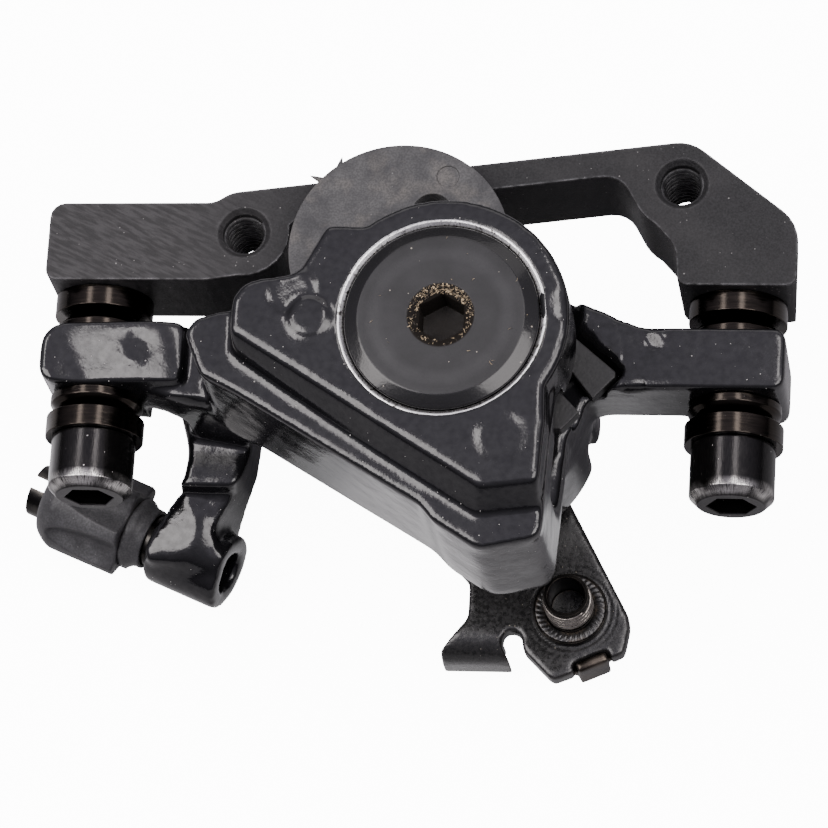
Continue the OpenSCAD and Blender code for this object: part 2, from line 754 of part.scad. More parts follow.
// Outline of the lever's arm in plan: the pinch lobe, the notch and the cable finger
function pinch_point(x, y, r) = [pinch_x + x, pinch_y + y, r];
function lever_outline() = rounded([
    [9.8, -5.5, 0], pinch_point(6.75, -0.35, 1.2), pinch_point(6.95, -1.65, 1.2), pinch_point(6.45, -4.95, 1),
    pinch_point(-1.75, -8.45, 0.8), pinch_point(-5.35, -4.85, 1.5), pinch_point(-5.75, -2.65, 0.8),
    pinch_point(-7.45, -2.25, 0.8), pinch_point(-8.15, -3.85, 1), [finger_right, pinch_y - 5.65, 0],
    [finger_right, pinch_y - 11.25, 0], [finger_left, pinch_y - 11.25, 0], [finger_left, pinch_y - 4.65, 0],
    pinch_point(-12.05, -0.95, 2), [-0.2, -18, 1.5], [-9.6, -8, 0]
]);

// Stamped lever: a root disc over the spring, the arm to the pinch bolt and the cable finger
module lever_arm() {
    color("#232427") difference() {
        union() {
            rod(lever_root_r, lever_back_z, lever_front_z);
            difference() {
                plate(lever_outline(), lever_back_z, lever_front_z);
                translate([finger_left - cut, finger_bend_y - far, -far])
                    cube([finger_right - finger_left + 1.2, far, 2 * far]);
            }
            intersection() {
                plate(lever_outline(), finger_lip_z - cut, lever_front_z);
                cable_finger();
            }
        }
        intersection() {
            rod(shaft_r + run_gap, -far, far);
            translate([-drive_flat / 2 - run_gap, -far, -far]) cube([drive_flat + 2 * run_gap, 2 * far, 2 * far]);
        }
        translate([pinch_x, pinch_y, 0]) {
            rod(stub_r + press_gap, -far, far);
            rotate([0, 0, pinch_tilt]) translate([-tab_w / 2 - air_gap, -tab_reach - 3, -far])
                cube([tab_w + 2 * air_gap, 3 + tab_t + air_gap, 2 * far]);
        }
        translate(coil_point(spring_end_angle + 4, 0)) rod(wire_r + air_gap, -far, far);
    }
}

// Finger that the cable wraps round: the plate's tongue bent outboard into a lip
module cable_finger() {
    outer = finger_bend_r + lever_t;
    width = finger_right - finger_left;
    translate([finger_left, finger_bend_y, lever_back_z - finger_bend_r]) {
        intersection() {
            rotate([0, 90, 0]) difference() {
                cylinder(r = outer, h = width);
                translate([0, 0, -cut]) cylinder(r = finger_bend_r, h = width + 2 * cut);
            }
            translate([0, -2 * outer, 0]) cube([width, 2 * outer, 2 * outer]);
        }
        translate([0, -outer, finger_lip_z - lever_back_z]) cube([width, lever_t, lever_back_z - finger_lip_z]);
    }
}

module lever_washer() {
    color("#7d8085") difference() {
        rod(lever_washer_r, lever_head_z, lever_back_z);
        rod(lever_bolt_r + 0.1, lever_head_z - cut, lever_back_z + cut);
    }
}

module lever_bolt() {
    color("#2a2b2e") difference() {
        union() {
            rod(lever_head_r, lever_head_z - lever_head_h, lever_head_z);
            rod(lever_bolt_r, lever_head_z - cut, lever_head_z + lever_bolt_l);
        }
        hex(lever_socket_af, lever_head_z - lever_head_h - cut, lever_head_z - 1);
    }
}

// Threaded insert pressed into the lever, with a flange and a stub on the wheel side
module pinch_collar() {
    color("#3b3a38") translate([pinch_x, pinch_y, 0]) difference() {
        union() {
            rod(stub_r, lever_back_z, lever_front_z + stub_h);
            rod(collar_flange_r, lever_front_z, lever_front_z + collar_flange_t);
        }
        rod(pinch_r + press_gap, lever_back_z - cut, lever_front_z + stub_h + cut);
    }
}

module pinch_bolt() {
    color("#2a2b2e") translate([pinch_x, pinch_y, 0]) difference() {
        union() {
            rod(pinch_head_r, pinch_head_z - pinch_head_h, pinch_head_z);
            rod(pinch_r, pinch_head_z - cut, pinch_tip_z);
        }
        hex(bolt_socket_af - 1, pinch_head_z - pinch_head_h - cut, pinch_head_z - 1.2);
    }
}

// Clamp washer, held from turning by a tab that is bent up into the lever's notch
module pinch_washer() {
    half = pinch_washer_w / 2;
    color("#4a4744") translate([pinch_x, pinch_y, 0]) difference() {
        rotate([0, 0, pinch_tilt]) {
            plate(rounded([[-half, -pinch_washer_reach, 1], [half, -pinch_washer_reach, 1], [half, half, 2], [-half, half, 2]]),
                pinch_head_z, lever_back_z);
            translate([-tab_w / 2, -tab_reach, pinch_head_z]) cube([tab_w, tab_t, lever_front_z + 0.8 - pinch_head_z]);
        }
        rod(pinch_r + 0.1, pinch_head_z - cut, lever_back_z + cut);
    }
}

// Hollow screw of the barrel adjuster, with a seat for the cable's housing and a slot
module barrel_screw() {
    color("#8b8781") along_cable() difference() {
        rod(barrel_r, barrel_tip, barrel_end);
        rod(cable_hole_r, 0, barrel_end + cut);
        rod(housing_seat_r, barrel_end - housing_seat_l, barrel_end + cut);
        translate([-far, -barrel_slot_w / 2, knob_end]) cube([far, barrel_slot_w, 2 * knob_l]);
    }
}

// Finger knob moulded round the screw, with scooped grooves
module barrel_knob() {
    color("#2e2f32") along_cable() difference() {
        union() {
            rod(knob_r, knob_start, knob_end - 2);
            translate([0, 0, knob_end - 2]) cylinder(r1 = knob_r, r2 = knob_r - 1.2, h = 2);
        }
        rod(barrel_r + press_gap, knob_start - cut, knob_end + cut);
        for (i = [0 : knob_grooves - 1]) rotate([0, 0, i * 360 / knob_grooves])
            translate([knob_r + 1.9, 0, knob_start - 1]) rotate([0, 12, 0]) rod(groove_cut_r, -cut, knob_l);
    }
}

module barrel_ring() {
    color("#1d1d1f") along_cable() difference() {
        rod(ring_r, ring_start, knob_start);
        rod(barrel_r + run_gap, ring_start - cut, knob_start + cut);
    }
}

// Outline of the adapter: a block at each mount bolt, a boss at each frame hole and a bar between
function on_bar(u, v) = frame_mid + frame_dir * u + frame_up * v;
function bar_point(u, v, r) = let (p = on_bar(u, v)) [p[0], p[1], r];
function adapter_outline() = let (half = frame_hole_spacing / 2, left_top = post_face_y + left_block_h) rounded(concat(
    [[adapter_left_x, post_face_y, 1.3], [adapter_left_x, left_top, 1.8], [hole_left[0] - 3.6, left_top + 0.2, 3]],
    [bar_point(-half - 1.3, bar_top, 4), bar_point(half + 1.5, bar_top, 4.5)],
    [[adapter_right_x, post_face_y + 7.8, 5], [adapter_right_x, post_face_y, 1.3], [leg_left_x, post_face_y, 1.3]],
    [[leg_left_x - 0.3, hole_right[1] - 7.8, 4]],
    [for (p = arc(hole_right, frame_boss_r + 0.4, 240, 214, 3)) [p[0], p[1], 0]],
    [bar_point(half - 7, bar_bottom, 3), bar_point(-half + 7.4, bar_bottom, 2)],
    [for (p = arc(hole_left, frame_boss_r, 10, -95, 8)) [p[0], p[1], 0]],
    [[hole_left[0] - 4.2, post_face_y + 0.1, 2]]
));

module adapter_bracket() {
    color("#38393b") difference() {
        plate(adapter_outline(), adapter_back_z, adapter_front_z);
        translate([adapter_right_x, -far, adapter_front_z])
            rotate([0, atan(right_draft / adapter_thick), 0]) translate([0, 0, -far]) cube([far, 2 * far, far]);
        for (hole = [hole_left, hole_right]) translate([hole[0], hole[1], 0]) {
            rod(frame_hole_r, adapter_back_z - cut, adapter_front_z + cut);
            translate([0, 0, adapter_front_z - frame_sink_r + frame_hole_r])
                cylinder(r1 = frame_hole_r, r2 = 2 * frame_sink_r - frame_hole_r, h = 2 * (frame_sink_r - frame_hole_r));
        }
        for (x = bolt_xs) along_bolt(x) rod(bolt_r + press_gap, post_face_y - cut, bolt_tip_y + 0.5);
    }
}

module mount_bolts() {
    color("#26262a") for (x = bolt_xs) along_bolt(x) difference() {
        union() {
            translate([0, 0, head_end_y]) cylinder(r1 = bolt_head_r - bolt_edge, r2 = bolt_head_r, h = bolt_edge);
            rod(bolt_head_r, head_end_y + bolt_edge, head_seat_y);
            rod(bolt_r, head_seat_y - cut, bolt_tip_y);
        }
        hex(bolt_socket_af, head_end_y - cut, head_end_y + bolt_socket_depth);
    }
}

// A ball washer that stands on height 0, dome up
module ball_washer() {
    difference() {
        intersection() {
            rod(ball_washer_r, 0, washer_stack_h);
            translate([0, 0, dome_centre_h]) sphere(r = dome_r);
        }
        rod(washer_hole_r, -cut, washer_stack_h + cut);
    }
}

// The cup washer that rests on that dome and ends at the height of the pair
module cup_washer() {
    difference() {
        rod(cup_r, cup_rim_h, washer_stack_h);
        translate([0, 0, dome_centre_h]) sphere(r = dome_r + 2 * run_gap);
        rod(washer_hole_r, -cut, washer_stack_h + cut);
    }
}

module upper_ball_washers() {
    color("#1f1f20") for (x = bolt_xs) along_bolt(x) translate([0, 0, ear_top_y]) ball_washer();
}

module upper_cup_washers() {
    color("#3a352f") for (x = bolt_xs) along_bolt(x) translate([0, 0, ear_top_y]) cup_washer();
}

module lower_ball_washers() {
    color("#1f1f20") for (x = bolt_xs) along_bolt(x) translate([0, 0, ear_bottom_y]) mirror([0, 0, 1]) ball_washer();
}

module lower_cup_washers() {
    color("#3a352f") for (x = bolt_xs) along_bolt(x) translate([0, 0, ear_bottom_y]) mirror([0, 0, 1]) cup_washer();
}

// Plastic disc that stands in for the rotor until the caliper is fitted
module transport_spacer() {
    color("#464749") translate([spacer_x, spacer_y, 0]) difference() {
        rod(spacer_r, -spacer_half, spacer_half);
        translate([3.6, 4.4, 0]) rod(spacer_hole_r, -far, far);
        translate([5.2, 8.9, 0]) rod(1.3, spacer_half - 0.2, far);
    }
}

caliper_body();
pad_adjuster();
adjuster_o_ring();
inboard_magnet();
inboard_pad_plate();
inboard_pad_lining();
outboard_pad_plate();
outboard_pad_lining();
outboard_magnet();
pressure_foot();
ramp_balls();
cam_shaft();
thrust_washer();
shaft_bush();
dust_seal();
return_spring();
lever_arm();
lever_washer();
lever_bolt();
pinch_collar();
pinch_bolt();
pinch_washer();
barrel_screw();
barrel_knob();
barrel_ring();
adapter_bracket();
mount_bolts();
upper_cup_washers();
upper_ball_washers();
lower_ball_washers();
lower_cup_washers();
transport_spacer();
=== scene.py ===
# %% [markdown]
# # A bicycle disc brake caliper
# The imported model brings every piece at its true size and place. This lesson adds what a drawing can't
# hold: paint, worn steel, moulded plastic, threads, crumbs and soft studio light. Work in metres and
# give every new piece the body that it moves with.

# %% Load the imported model
import json
import math

import bmesh
import bpy
import numpy as np
from mathutils import Matrix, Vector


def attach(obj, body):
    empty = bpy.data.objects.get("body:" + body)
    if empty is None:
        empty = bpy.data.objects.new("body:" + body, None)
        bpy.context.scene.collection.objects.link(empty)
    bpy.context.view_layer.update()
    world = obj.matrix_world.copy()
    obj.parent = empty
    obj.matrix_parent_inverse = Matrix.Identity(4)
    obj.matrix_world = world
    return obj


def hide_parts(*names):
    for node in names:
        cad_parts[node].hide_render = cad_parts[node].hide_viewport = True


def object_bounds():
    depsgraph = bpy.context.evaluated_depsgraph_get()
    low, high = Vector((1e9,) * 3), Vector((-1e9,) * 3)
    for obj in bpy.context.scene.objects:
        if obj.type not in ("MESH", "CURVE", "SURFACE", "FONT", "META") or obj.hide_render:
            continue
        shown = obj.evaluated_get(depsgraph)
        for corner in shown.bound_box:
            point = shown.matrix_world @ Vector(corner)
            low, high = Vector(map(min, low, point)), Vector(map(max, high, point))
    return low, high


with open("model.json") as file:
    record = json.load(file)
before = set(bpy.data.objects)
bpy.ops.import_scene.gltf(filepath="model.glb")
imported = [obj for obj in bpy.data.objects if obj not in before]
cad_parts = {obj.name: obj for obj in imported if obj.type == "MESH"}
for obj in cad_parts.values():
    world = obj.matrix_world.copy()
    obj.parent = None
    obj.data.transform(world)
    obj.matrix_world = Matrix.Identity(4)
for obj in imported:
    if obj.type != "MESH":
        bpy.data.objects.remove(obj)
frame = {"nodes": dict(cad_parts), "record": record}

MM = 0.001
nodes = frame["nodes"]
node_body = {n: body for body, names in frame["record"]["behaviour"]["bodies"].items() for n in names}
cad_low, cad_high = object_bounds()
print("pieces:", len(nodes), "box in mm:", [round((h - l) / MM, 1) for l, h in zip(cad_low, cad_high)])

# %% [markdown]
# ## The camera
# The picture looks down on the machined face from a little in front. A long lens keeps the bolts nearly
# parallel. Three directions, right, up and back, are made square to each other and become the columns
# of the camera's matrix, which also holds the small roll that aiming a camera by hand would miss.

# %% Camera from three directions
back = np.array([0.1342, -0.3473, 0.9280])
back /= np.linalg.norm(back)
right = np.array([0.9909, 0.0581, -0.1216])
right -= back * (right @ back)
right /= np.linalg.norm(right)
up = np.cross(back, right)
aim_right_mm, aim_up_mm, distance_mm = -4.714, -5.922, 607.27
aim = (aim_right_mm * right + aim_up_mm * up) * MM
eye = aim + distance_mm * MM * back
lens = bpy.data.cameras.new("camera")
lens.lens, lens.sensor_width, lens.clip_start = 232.2, 36.0, 0.01
camera = bpy.data.objects.new("camera", lens)
columns = np.stack([right, up, back], 1)
camera.matrix_world = Matrix([[*row, e] for row, e in zip(columns, eye)] + [[0, 0, 0, 1]])
bpy.context.scene.collection.objects.link(camera)
bpy.context.scene.camera = camera
print("eye in mm:", np.round(eye / MM, 1))

# %% [markdown]
# ## Surfaces from numbers
# Every new piece is a grid of points. A formula fills the whole grid at once, and the faces are the
# cells of the grid, so no loop walks over points. A wrapped direction closes on itself like a ring.

# %% A grid becomes a piece
def surface(name, grid, body, finish, wrap_rows=False, wrap_cols=False, shut=True):
    """Points of shape (copies, rows, columns, 3) in millimetres: each cell is a face, and a wrapped
    direction joins its last line to its first. Shut pieces get their faces turned outwards."""
    grid = grid if grid.ndim == 4 else grid[None]
    copies, rows, cols = grid.shape[:3]
    index = np.arange(copies * rows * cols).reshape(copies, rows, cols)
    near = index if wrap_rows else index[:, :-1]
    far = np.roll(index, -1, axis=1) if wrap_rows else index[:, 1:]
    if wrap_cols:
        cells = [near, far, np.roll(far, -1, axis=2), np.roll(near, -1, axis=2)]
    else:
        cells = [near[..., :-1], far[..., :-1], far[..., 1:], near[..., 1:]]
    faces = np.stack(cells, axis=-1).reshape(-1, 4)
    mesh = bpy.data.meshes.new(name)
    mesh.from_pydata((grid.reshape(-1, 3) * MM).tolist(), [], faces.tolist())
    if shut:
        work = bmesh.new()
        work.from_mesh(mesh)
        bmesh.ops.remove_doubles(work, verts=work.verts[:], dist=1e-7)
        bmesh.ops.holes_fill(work, edges=work.edges[:], sides=0)
        bmesh.ops.recalc_face_normals(work, faces=work.faces[:])
        work.to_mesh(mesh)
        work.free()
    return place(name, mesh, body, finish)


def place(name, mesh, body, finish):
    """Give a mesh its finish and its body, shaded smooth."""
    mesh.shade_smooth()
    mesh.materials.append(finish)
    piece = bpy.data.objects.new(name, mesh)
    bpy.context.scene.collection.objects.link(piece)
    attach(piece, body)
    return piece


def ring_dirs(turn):
    """Unit directions round the Z axis for angles in radians."""
    return np.stack([np.cos(turn), np.sin(turn), np.zeros_like(turn)], axis=-1)

# %% [markdown]
# ## Shader nodes in one line
# A finish is a small tree of nodes. These helpers add a node, set its options and link its inputs in one
# call, so a finish below reads from top to bottom like a recipe. Constants go straight on the sockets.

# %% Node helpers
def add(tree, kind, inputs=None, **options):
    """Add a shader node, set its options, then set or link its inputs by name or number."""
    node = tree.nodes.new("ShaderNode" + kind)
    for option, value in options.items():
        setattr(node, option, value)
    for key, value in (inputs or {}).items():
        if isinstance(value, bpy.types.NodeSocket):
            tree.links.new(value, node.inputs[key])
        else:
            node.inputs[key].default_value = value
    return node


def sums(tree, operation, first, second=0.0):
    """One sum of two values or sockets."""
    return add(tree, "Math", {0: first, 1: second}, operation=operation).outputs[0]


def ramp(tree, value, low, high, out_low=0.0, out_high=1.0):
    """Stretch a value from one range to another, held at both ends."""
    inputs = {"Value": value, "From Min": low, "From Max": high, "To Min": out_low, "To Max": out_high}
    return add(tree, "MapRange", inputs).outputs[0]


def blend_colours(tree, mask, first, second):
    """The first colour where the mask is 0, the second where it is 1."""
    return add(tree, "Mix", {0: mask, 6: first, 7: second}, data_type="RGBA").outputs[2]


def spot(tree):
    """The piece's own coordinates in metres."""
    return add(tree, "TexCoord").outputs["Object"]


def effect(name, inputs, outputs):
    """An empty node group with number sockets."""
    group = bpy.data.node_groups.new(name, "ShaderNodeTree")
    for socket, value in inputs.items():
        made = group.interface.new_socket(name=socket, in_out="INPUT", socket_type="NodeSocketFloat")
        made.default_value = value
    for socket in outputs:
        group.interface.new_socket(name=socket, in_out="OUTPUT", socket_type="NodeSocketFloat")
    return group, group.nodes.new("NodeGroupInput").outputs, group.nodes.new("NodeGroupOutput").inputs


def use(tree, group, **values):
    """Put a node group into a finish with its own values."""
    node = tree.nodes.new("ShaderNodeGroup")
    node.node_tree = group
    for socket, value in values.items():
        node.inputs[socket].default_value = value
    return node.outputs

# %% Start of a finish
def start(name, colour, rough, metal=0.0, **sockets):
    """A material whose constants sit on the shader's own sockets."""
    material = bpy.data.materials.new(name)
    material.use_nodes = True
    tree = material.node_tree
    shader = tree.nodes["Principled BSDF"]
    for socket, value in {"Base Color": (*colour, 1.0), "Roughness": rough, "Metallic": metal}.items():
        shader.inputs[socket].default_value = value
    for socket, value in sockets.items():
        shader.inputs[socket.replace("_", " ")].default_value = value
    return material, tree, shader


def bump(tree, shader, *heights):
    """Stack heights, each with its depth in metres, into one normal."""
    normal = None
    for height, depth in heights:
        inputs = {"Height": height, "Distance": depth}
        if normal:
            inputs["Normal"] = normal
        normal = add(tree, "Bump", inputs).outputs["Normal"]
    tree.links.new(normal, shader.inputs["Normal"])

# %% [markdown]
# ## Floor and light
# The caliper lies on a pale floor. Two long soft boxes hang over it, one to the left and one to the right,
# and the flat faces look at the dark gap between them. That is why the edges that fall away to the sides
# catch long bright lines while the front edges stay dark. Two short strips and a far lamp light the edges
# at the back. The front walls mirror painted light: a patch of floor close in front of them glows though
# it is no lamp, and a small glowing patch lies below the right ear. Everywhere else the floor is white for
# the camera's own rays only, so the other walls mirror a dark bench and stay black.

# %% Floor
def floor_finish():
    """White to the camera. Other rays see a patch in front that glows as painted light, on a dark bench."""
    material, tree, shader = start("pale_floor", (0.8, 0.8, 0.81), 0.75, Emission_Color=(1, 1, 1, 1))
    seen = add(tree, "LightPath").outputs["Is Camera Ray"]
    card_corner, card_way = (-0.002, -0.008, 0.0), (-0.35, -0.94, 0.0)
    off = add(tree, "VectorMath", {0: spot(tree), 1: card_corner}, operation="SUBTRACT").outputs[0]
    ahead = add(tree, "VectorMath", {0: off, 1: card_way}, operation="DOT_PRODUCT").outputs["Value"]
    beside, along = add(tree, "SeparateXYZ", {0: spot(tree)}).outputs[:2]
    # The glowing patch in front is painted light: emission where there is no lamp.
    painted_glow_card = sums(tree, "MULTIPLY", ramp(tree, ahead, 0.006, 0.014), ramp(tree, ahead, 0.03, 0.016))
    painted_glow_card = sums(tree, "MULTIPLY", painted_glow_card, ramp(tree, beside, 0.02, -0.002))
    # A second glowing patch, below the right ear, is painted light too.
    patch = sums(tree, "MULTIPLY", ramp(tree, beside, 0.011, 0.014), ramp(tree, beside, 0.027, 0.017))
    from_patch = sums(tree, "ABSOLUTE", sums(tree, "ADD", along, 0.0105))
    patch = sums(tree, "MULTIPLY", patch, ramp(tree, from_patch, 0.006, 0.003))
    painted_glow_card = sums(tree, "MAXIMUM", painted_glow_card, patch)
    shown = sums(tree, "MAXIMUM", seen, sums(tree, "MAXIMUM", painted_glow_card, 0.4))
    tree.links.new(blend_colours(tree, shown, (0, 0, 0, 1), (0.8, 0.8, 0.81, 1)), shader.inputs["Base Color"])
    # Only these patches glow for other rays: painted light for the walls to mirror.
    painted_glow_strength, camera_glow = sums(tree, "MULTIPLY", painted_glow_card, 0.45), 12.0
    glow = add(tree, "Mix", {0: seen, 2: painted_glow_strength, 3: camera_glow}).outputs[0]
    tree.links.new(glow, shader.inputs["Emission Strength"])
    return material


span = np.linspace(-1500, 1500, 3)
floor_grid = np.stack(np.meshgrid(span, span, [cad_low[2] / MM - 0.02], indexing="ij"), -1)[:, :, 0]
floor_mesh = bpy.data.meshes.new("floor")
floor_cells = [(0, 3, 4, 1), (1, 4, 5, 2), (3, 6, 7, 4), (4, 7, 8, 5)]
floor_mesh.from_pydata((floor_grid.reshape(-1, 3) * MM).tolist(), [], floor_cells)
floor_mesh.materials.append(floor_finish())
floor = bpy.data.objects.new("floor", floor_mesh)
bpy.context.scene.collection.objects.link(floor)

# %% Soft boxes and room
def soft_box(name, place_mm, size_mm, power, aim_mm=(0, 0, 0)):
    """An area lamp at a point, turned to face another point, its long side along Y."""
    lamp = bpy.data.lights.new(name, "AREA")
    lamp.shape, lamp.size, lamp.size_y, lamp.energy = "RECTANGLE", size_mm[0] * MM, size_mm[1] * MM, power
    lamp.color = (1.0, 0.955, 0.94)
    out = np.array(place_mm, float) - np.array(aim_mm, float)
    out /= np.linalg.norm(out)
    side = np.cross([0, 1, 0], out)
    side /= np.linalg.norm(side)
    box = bpy.data.objects.new(name, lamp)
    turn = np.stack([side, np.cross(out, side), out], 1)
    box.matrix_world = Matrix([[*row, p * MM] for row, p in zip(turn, place_mm)] + [[0, 0, 0, 1]])
    bpy.context.scene.collection.objects.link(box)


soft_box("left_box", (-365, -40, 560), (430, 340), 3.6)
soft_box("left_strip", (-330, 236, 560), (110, 170), 0.5)
soft_box("right_box", (330, -60, 560), (300, 420), 2.6)
soft_box("right_strip", (140, 230, 560), (110, 200), 0.58)
soft_box("far_fill", (0, 700, 420), (900, 260), 0.8)

room = bpy.data.worlds.new("room")
room.use_nodes = True
bpy.context.scene.world = room
air = room.node_tree
look = add(air, "SeparateXYZ", {0: add(air, "TexCoord").outputs["Generated"]}).outputs
overhead = ramp(air, look["Z"], 0.05, 0.95, 0.08, 1.08)
in_front = ramp(air, look["Y"], -0.3, -0.55, 1.0, 0.5)
air.links.new(sums(air, "MULTIPLY", overhead, in_front), air.nodes["Background"].inputs["Strength"])
air.nodes["Background"].inputs["Color"].default_value = (0.97, 0.92, 1.06, 1)

# %% [markdown]
# ## Shared effects
# Dust, grain, worn edges and haze turn up on many finishes, so each is one node group that gives out a
# mask or a value. A finish then uses the mask with its own colours. Everything is read from the piece's
# own coordinates, so nothing swims when a joint moves. One unit is a metre, so scales are in thousands.

# %% Grain, dust and worn edges
grain, given, out = effect("grain", {"Scale": 1500.0, "Detail": 3.0}, ["Value"])
noise = add(grain, "TexNoise", {"Vector": spot(grain), "Scale": given["Scale"], "Detail": given["Detail"]})
grain.links.new(noise.outputs["Fac"], out["Value"])

dust, given, out = effect("dust", {"Scale": 800.0, "Share": 0.25, "Size": 0.07}, ["Mask"])
cells = add(dust, "TexVoronoi", {"Vector": spot(dust), "Scale": given["Scale"]})
pick = add(dust, "SeparateColor", {"Color": cells.outputs["Color"]})
chosen = sums(dust, "LESS_THAN", pick.outputs[0], given["Share"])
reach = sums(dust, "MULTIPLY", given["Size"], sums(dust, "ADD", pick.outputs[1], 0.35))
near = ramp(dust, sums(dust, "DIVIDE", cells.outputs["Distance"], reach), 1.0, 0.6)
dust.links.new(sums(dust, "MULTIPLY", chosen, near), out["Mask"])

worn, given, out = effect("worn_edge", {"Reach": 0.0004, "Gain": 3.0, "Patch": 900.0}, ["Mask"])
soft = add(worn, "Bevel", {"Radius": given["Reach"]}, samples=6)
true = add(worn, "NewGeometry")
normals = {0: soft.outputs["Normal"], 1: true.outputs["Normal"]}
bend = add(worn, "VectorMath", normals, operation="DOT_PRODUCT")
turned = sums(worn, "MULTIPLY", sums(worn, "SUBTRACT", 1.0, bend.outputs["Value"]), given["Gain"])
patch = add(worn, "TexNoise", {"Vector": spot(worn), "Scale": given["Patch"], "Detail": 4.0})
kept = ramp(worn, patch.outputs["Fac"], 0.38, 0.62)
worn.links.new(add(worn, "Clamp", {"Value": sums(worn, "MULTIPLY", turned, kept)}).outputs[0], out["Mask"])
print("effects:", [g.name for g in bpy.data.node_groups])

# %% [markdown]
# ## Black gloss paint
# The casting is dipped in thick black paint. It is wavy like syrup, so reflections wobble, and it has
# fine orange peel and stray specks of pale dust. The wave and the peel are two noises in a bump. A thin
# film of dirt dulls the shine in spots, and the roughness drifts a little where fingers have been.

# %% Body paint
def gloss_paint():
    material, tree, shader = start("black_gloss", (0.006, 0.006, 0.0065), 0.12)
    specks = use(tree, dust, Scale=1400.0, Share=0.45, Size=0.1)["Mask"]
    haze = use(tree, grain, Scale=140.0, Detail=5.0)["Value"]
    colour = blend_colours(tree, specks, (0.006, 0.006, 0.0068, 1), (0.42, 0.41, 0.39, 1))
    tree.links.new(colour, shader.inputs["Base Color"])
    rough = ramp(tree, haze, 0.3, 0.75, 0.09, 0.2)
    rough = sums(tree, "MAXIMUM", rough, sums(tree, "MULTIPLY", specks, 0.7))
    tree.links.new(rough, shader.inputs["Roughness"])
    film = use(tree, grain, Scale=1300.0, Detail=6.0)["Value"]
    tree.links.new(ramp(tree, film, 0.35, 0.68, 0.56, 0.4), shader.inputs["Specular IOR Level"])
    wave = use(tree, grain, Scale=210.0, Detail=1.0)["Value"]
    dimple = use(tree, grain, Scale=800.0, Detail=2.0)["Value"]
    peel = use(tree, grain, Scale=3300.0, Detail=2.0)["Value"]
    bump(tree, shader, (wave, 0.00013), (dimple, 0.000028), (peel, 0.000011), (specks, 0.00004))
    return material


body_paint = gloss_paint()

# %% [markdown]
# ## The painted casting
# Castings have no sharp edge, and paint rounds them further. The node's loose triangles are merged, a
# voxel remesh turns them into an even skin, and then every point moves towards the mean of its
# neighbours, which rounds edges and fills corners alike. The machined bore keeps its edge because its
# points get a small weight. A Bevel would fail here, where dozens of cut faces meet. The step on the arm
# is wide and soft, so its heights first follow a gentler line, and the right ear is brought level up to
# a narrow gap round the pad's tab.

# %% Merge and relax
def joined(node):
    """A node's triangles with the points of equal place merged: unique rows of the rounded points."""
    source = nodes[node].data
    source.calc_loop_triangles()
    points = np.empty(len(source.vertices) * 3)
    source.vertices.foreach_get("co", points)
    corners = np.empty(len(source.loop_triangles) * 3, dtype=int)
    source.loop_triangles.foreach_get("vertices", corners)
    places, which = np.unique(np.round(points.reshape(-1, 3), 7), axis=0, return_inverse=True)
    triangles = which.reshape(-1)[corners].reshape(-1, 3)
    whole = (triangles != np.roll(triangles, 1, axis=1)).all(axis=1)
    mesh = bpy.data.meshes.new(node + "_joined")
    mesh.from_pydata(places.tolist(), [], triangles[whole].tolist())
    return mesh


def relax(points, edges, weight, rounds):
    """Move each point by weight towards the mean of its neighbours, over and over."""
    a, b = edges.T
    size = len(points)
    count = np.bincount(a, minlength=size) + np.bincount(b, minlength=size)
    for _ in range(rounds):
        total = np.stack([np.bincount(a, points[b, k], size) + np.bincount(b, points[a, k], size)
                          for k in range(3)], axis=1)
        points = points + weight[:, None] * (total / count[:, None] - points)
    return points

# %% Body skin
def with_step(mesh, kind, **options):
    """A copy of a mesh with one modifier applied."""
    holder = bpy.data.objects.new("holder", mesh)
    bpy.context.scene.collection.objects.link(holder)
    step = holder.modifiers.new("step", kind)
    for option, value in options.items():
        setattr(step, option, value)
    made = bpy.data.meshes.new_from_object(holder.evaluated_get(bpy.context.evaluated_depsgraph_get()))
    bpy.data.objects.remove(holder)
    return made


# Where the hand-finished casting leans or is dented: middle, reach, slope along X, slope along Y, sink.
leans = [((-39.4, 2.0, -2.5), 9.0, 0.07, 0.12, 0.0), ((-37.6, 2.1, -2.5), 2.6, -0.07, -0.12, 0.0),
         ((-35.2, -13.8, -19.4), 5.6, 0.15, 0.0, 0.0),
         ((12.6, 1.6, 14.0), 2.6, -0.14, 0.0, 0.0), ((7.4, -14.1, 14.0), 3.6, 0.0, 0.0, 0.2),
         ((-17.0, 3.0, 14.0), 3.4, 0.1, 0.1, 0.0), ((22.4, 4.0, -2.7), 1.5, 0.1, 0.22, 0.0)]


def lean(points):
    """Tilt or sink the face near each spot, fully out to half its reach and then fading to nothing."""
    for middle, reach, slope_x, slope_y, sink in leans:
        off = points - middle
        away = np.clip(2 * np.linalg.norm(off, axis=1) / reach - 1, 0, 1)
        bell = 0.5 + 0.5 * np.cos(np.pi * away)
        points[:, 2] += bell * (slope_x * off[:, 0] + slope_y * off[:, 1] - sink)
    return points


def even_skin(node, voxel_mm):
    """A voxel remesh of a node, with its points in millimetres and its edges."""
    mesh = with_step(joined(node), "REMESH", mode="VOXEL", voxel_size=voxel_mm * MM)
    points = np.empty(len(mesh.vertices) * 3)
    mesh.vertices.foreach_get("co", points)
    edges = np.empty(len(mesh.edges) * 2, dtype=int)
    mesh.edges.foreach_get("vertices", edges)
    return mesh, points.reshape(-1, 3) / MM, edges.reshape(-1, 2)


def ease(points, zone, drawn, eased):
    """Lift a zone's top from its drawn height to an eased one, fading out 1 to 4.5 mm below the top."""
    fade = np.clip((points[:, 2] - drawn + 4.5) / 3.5, 0, 1)
    points[:, 2] += np.where(zone, (eased - drawn) * fade, 0)


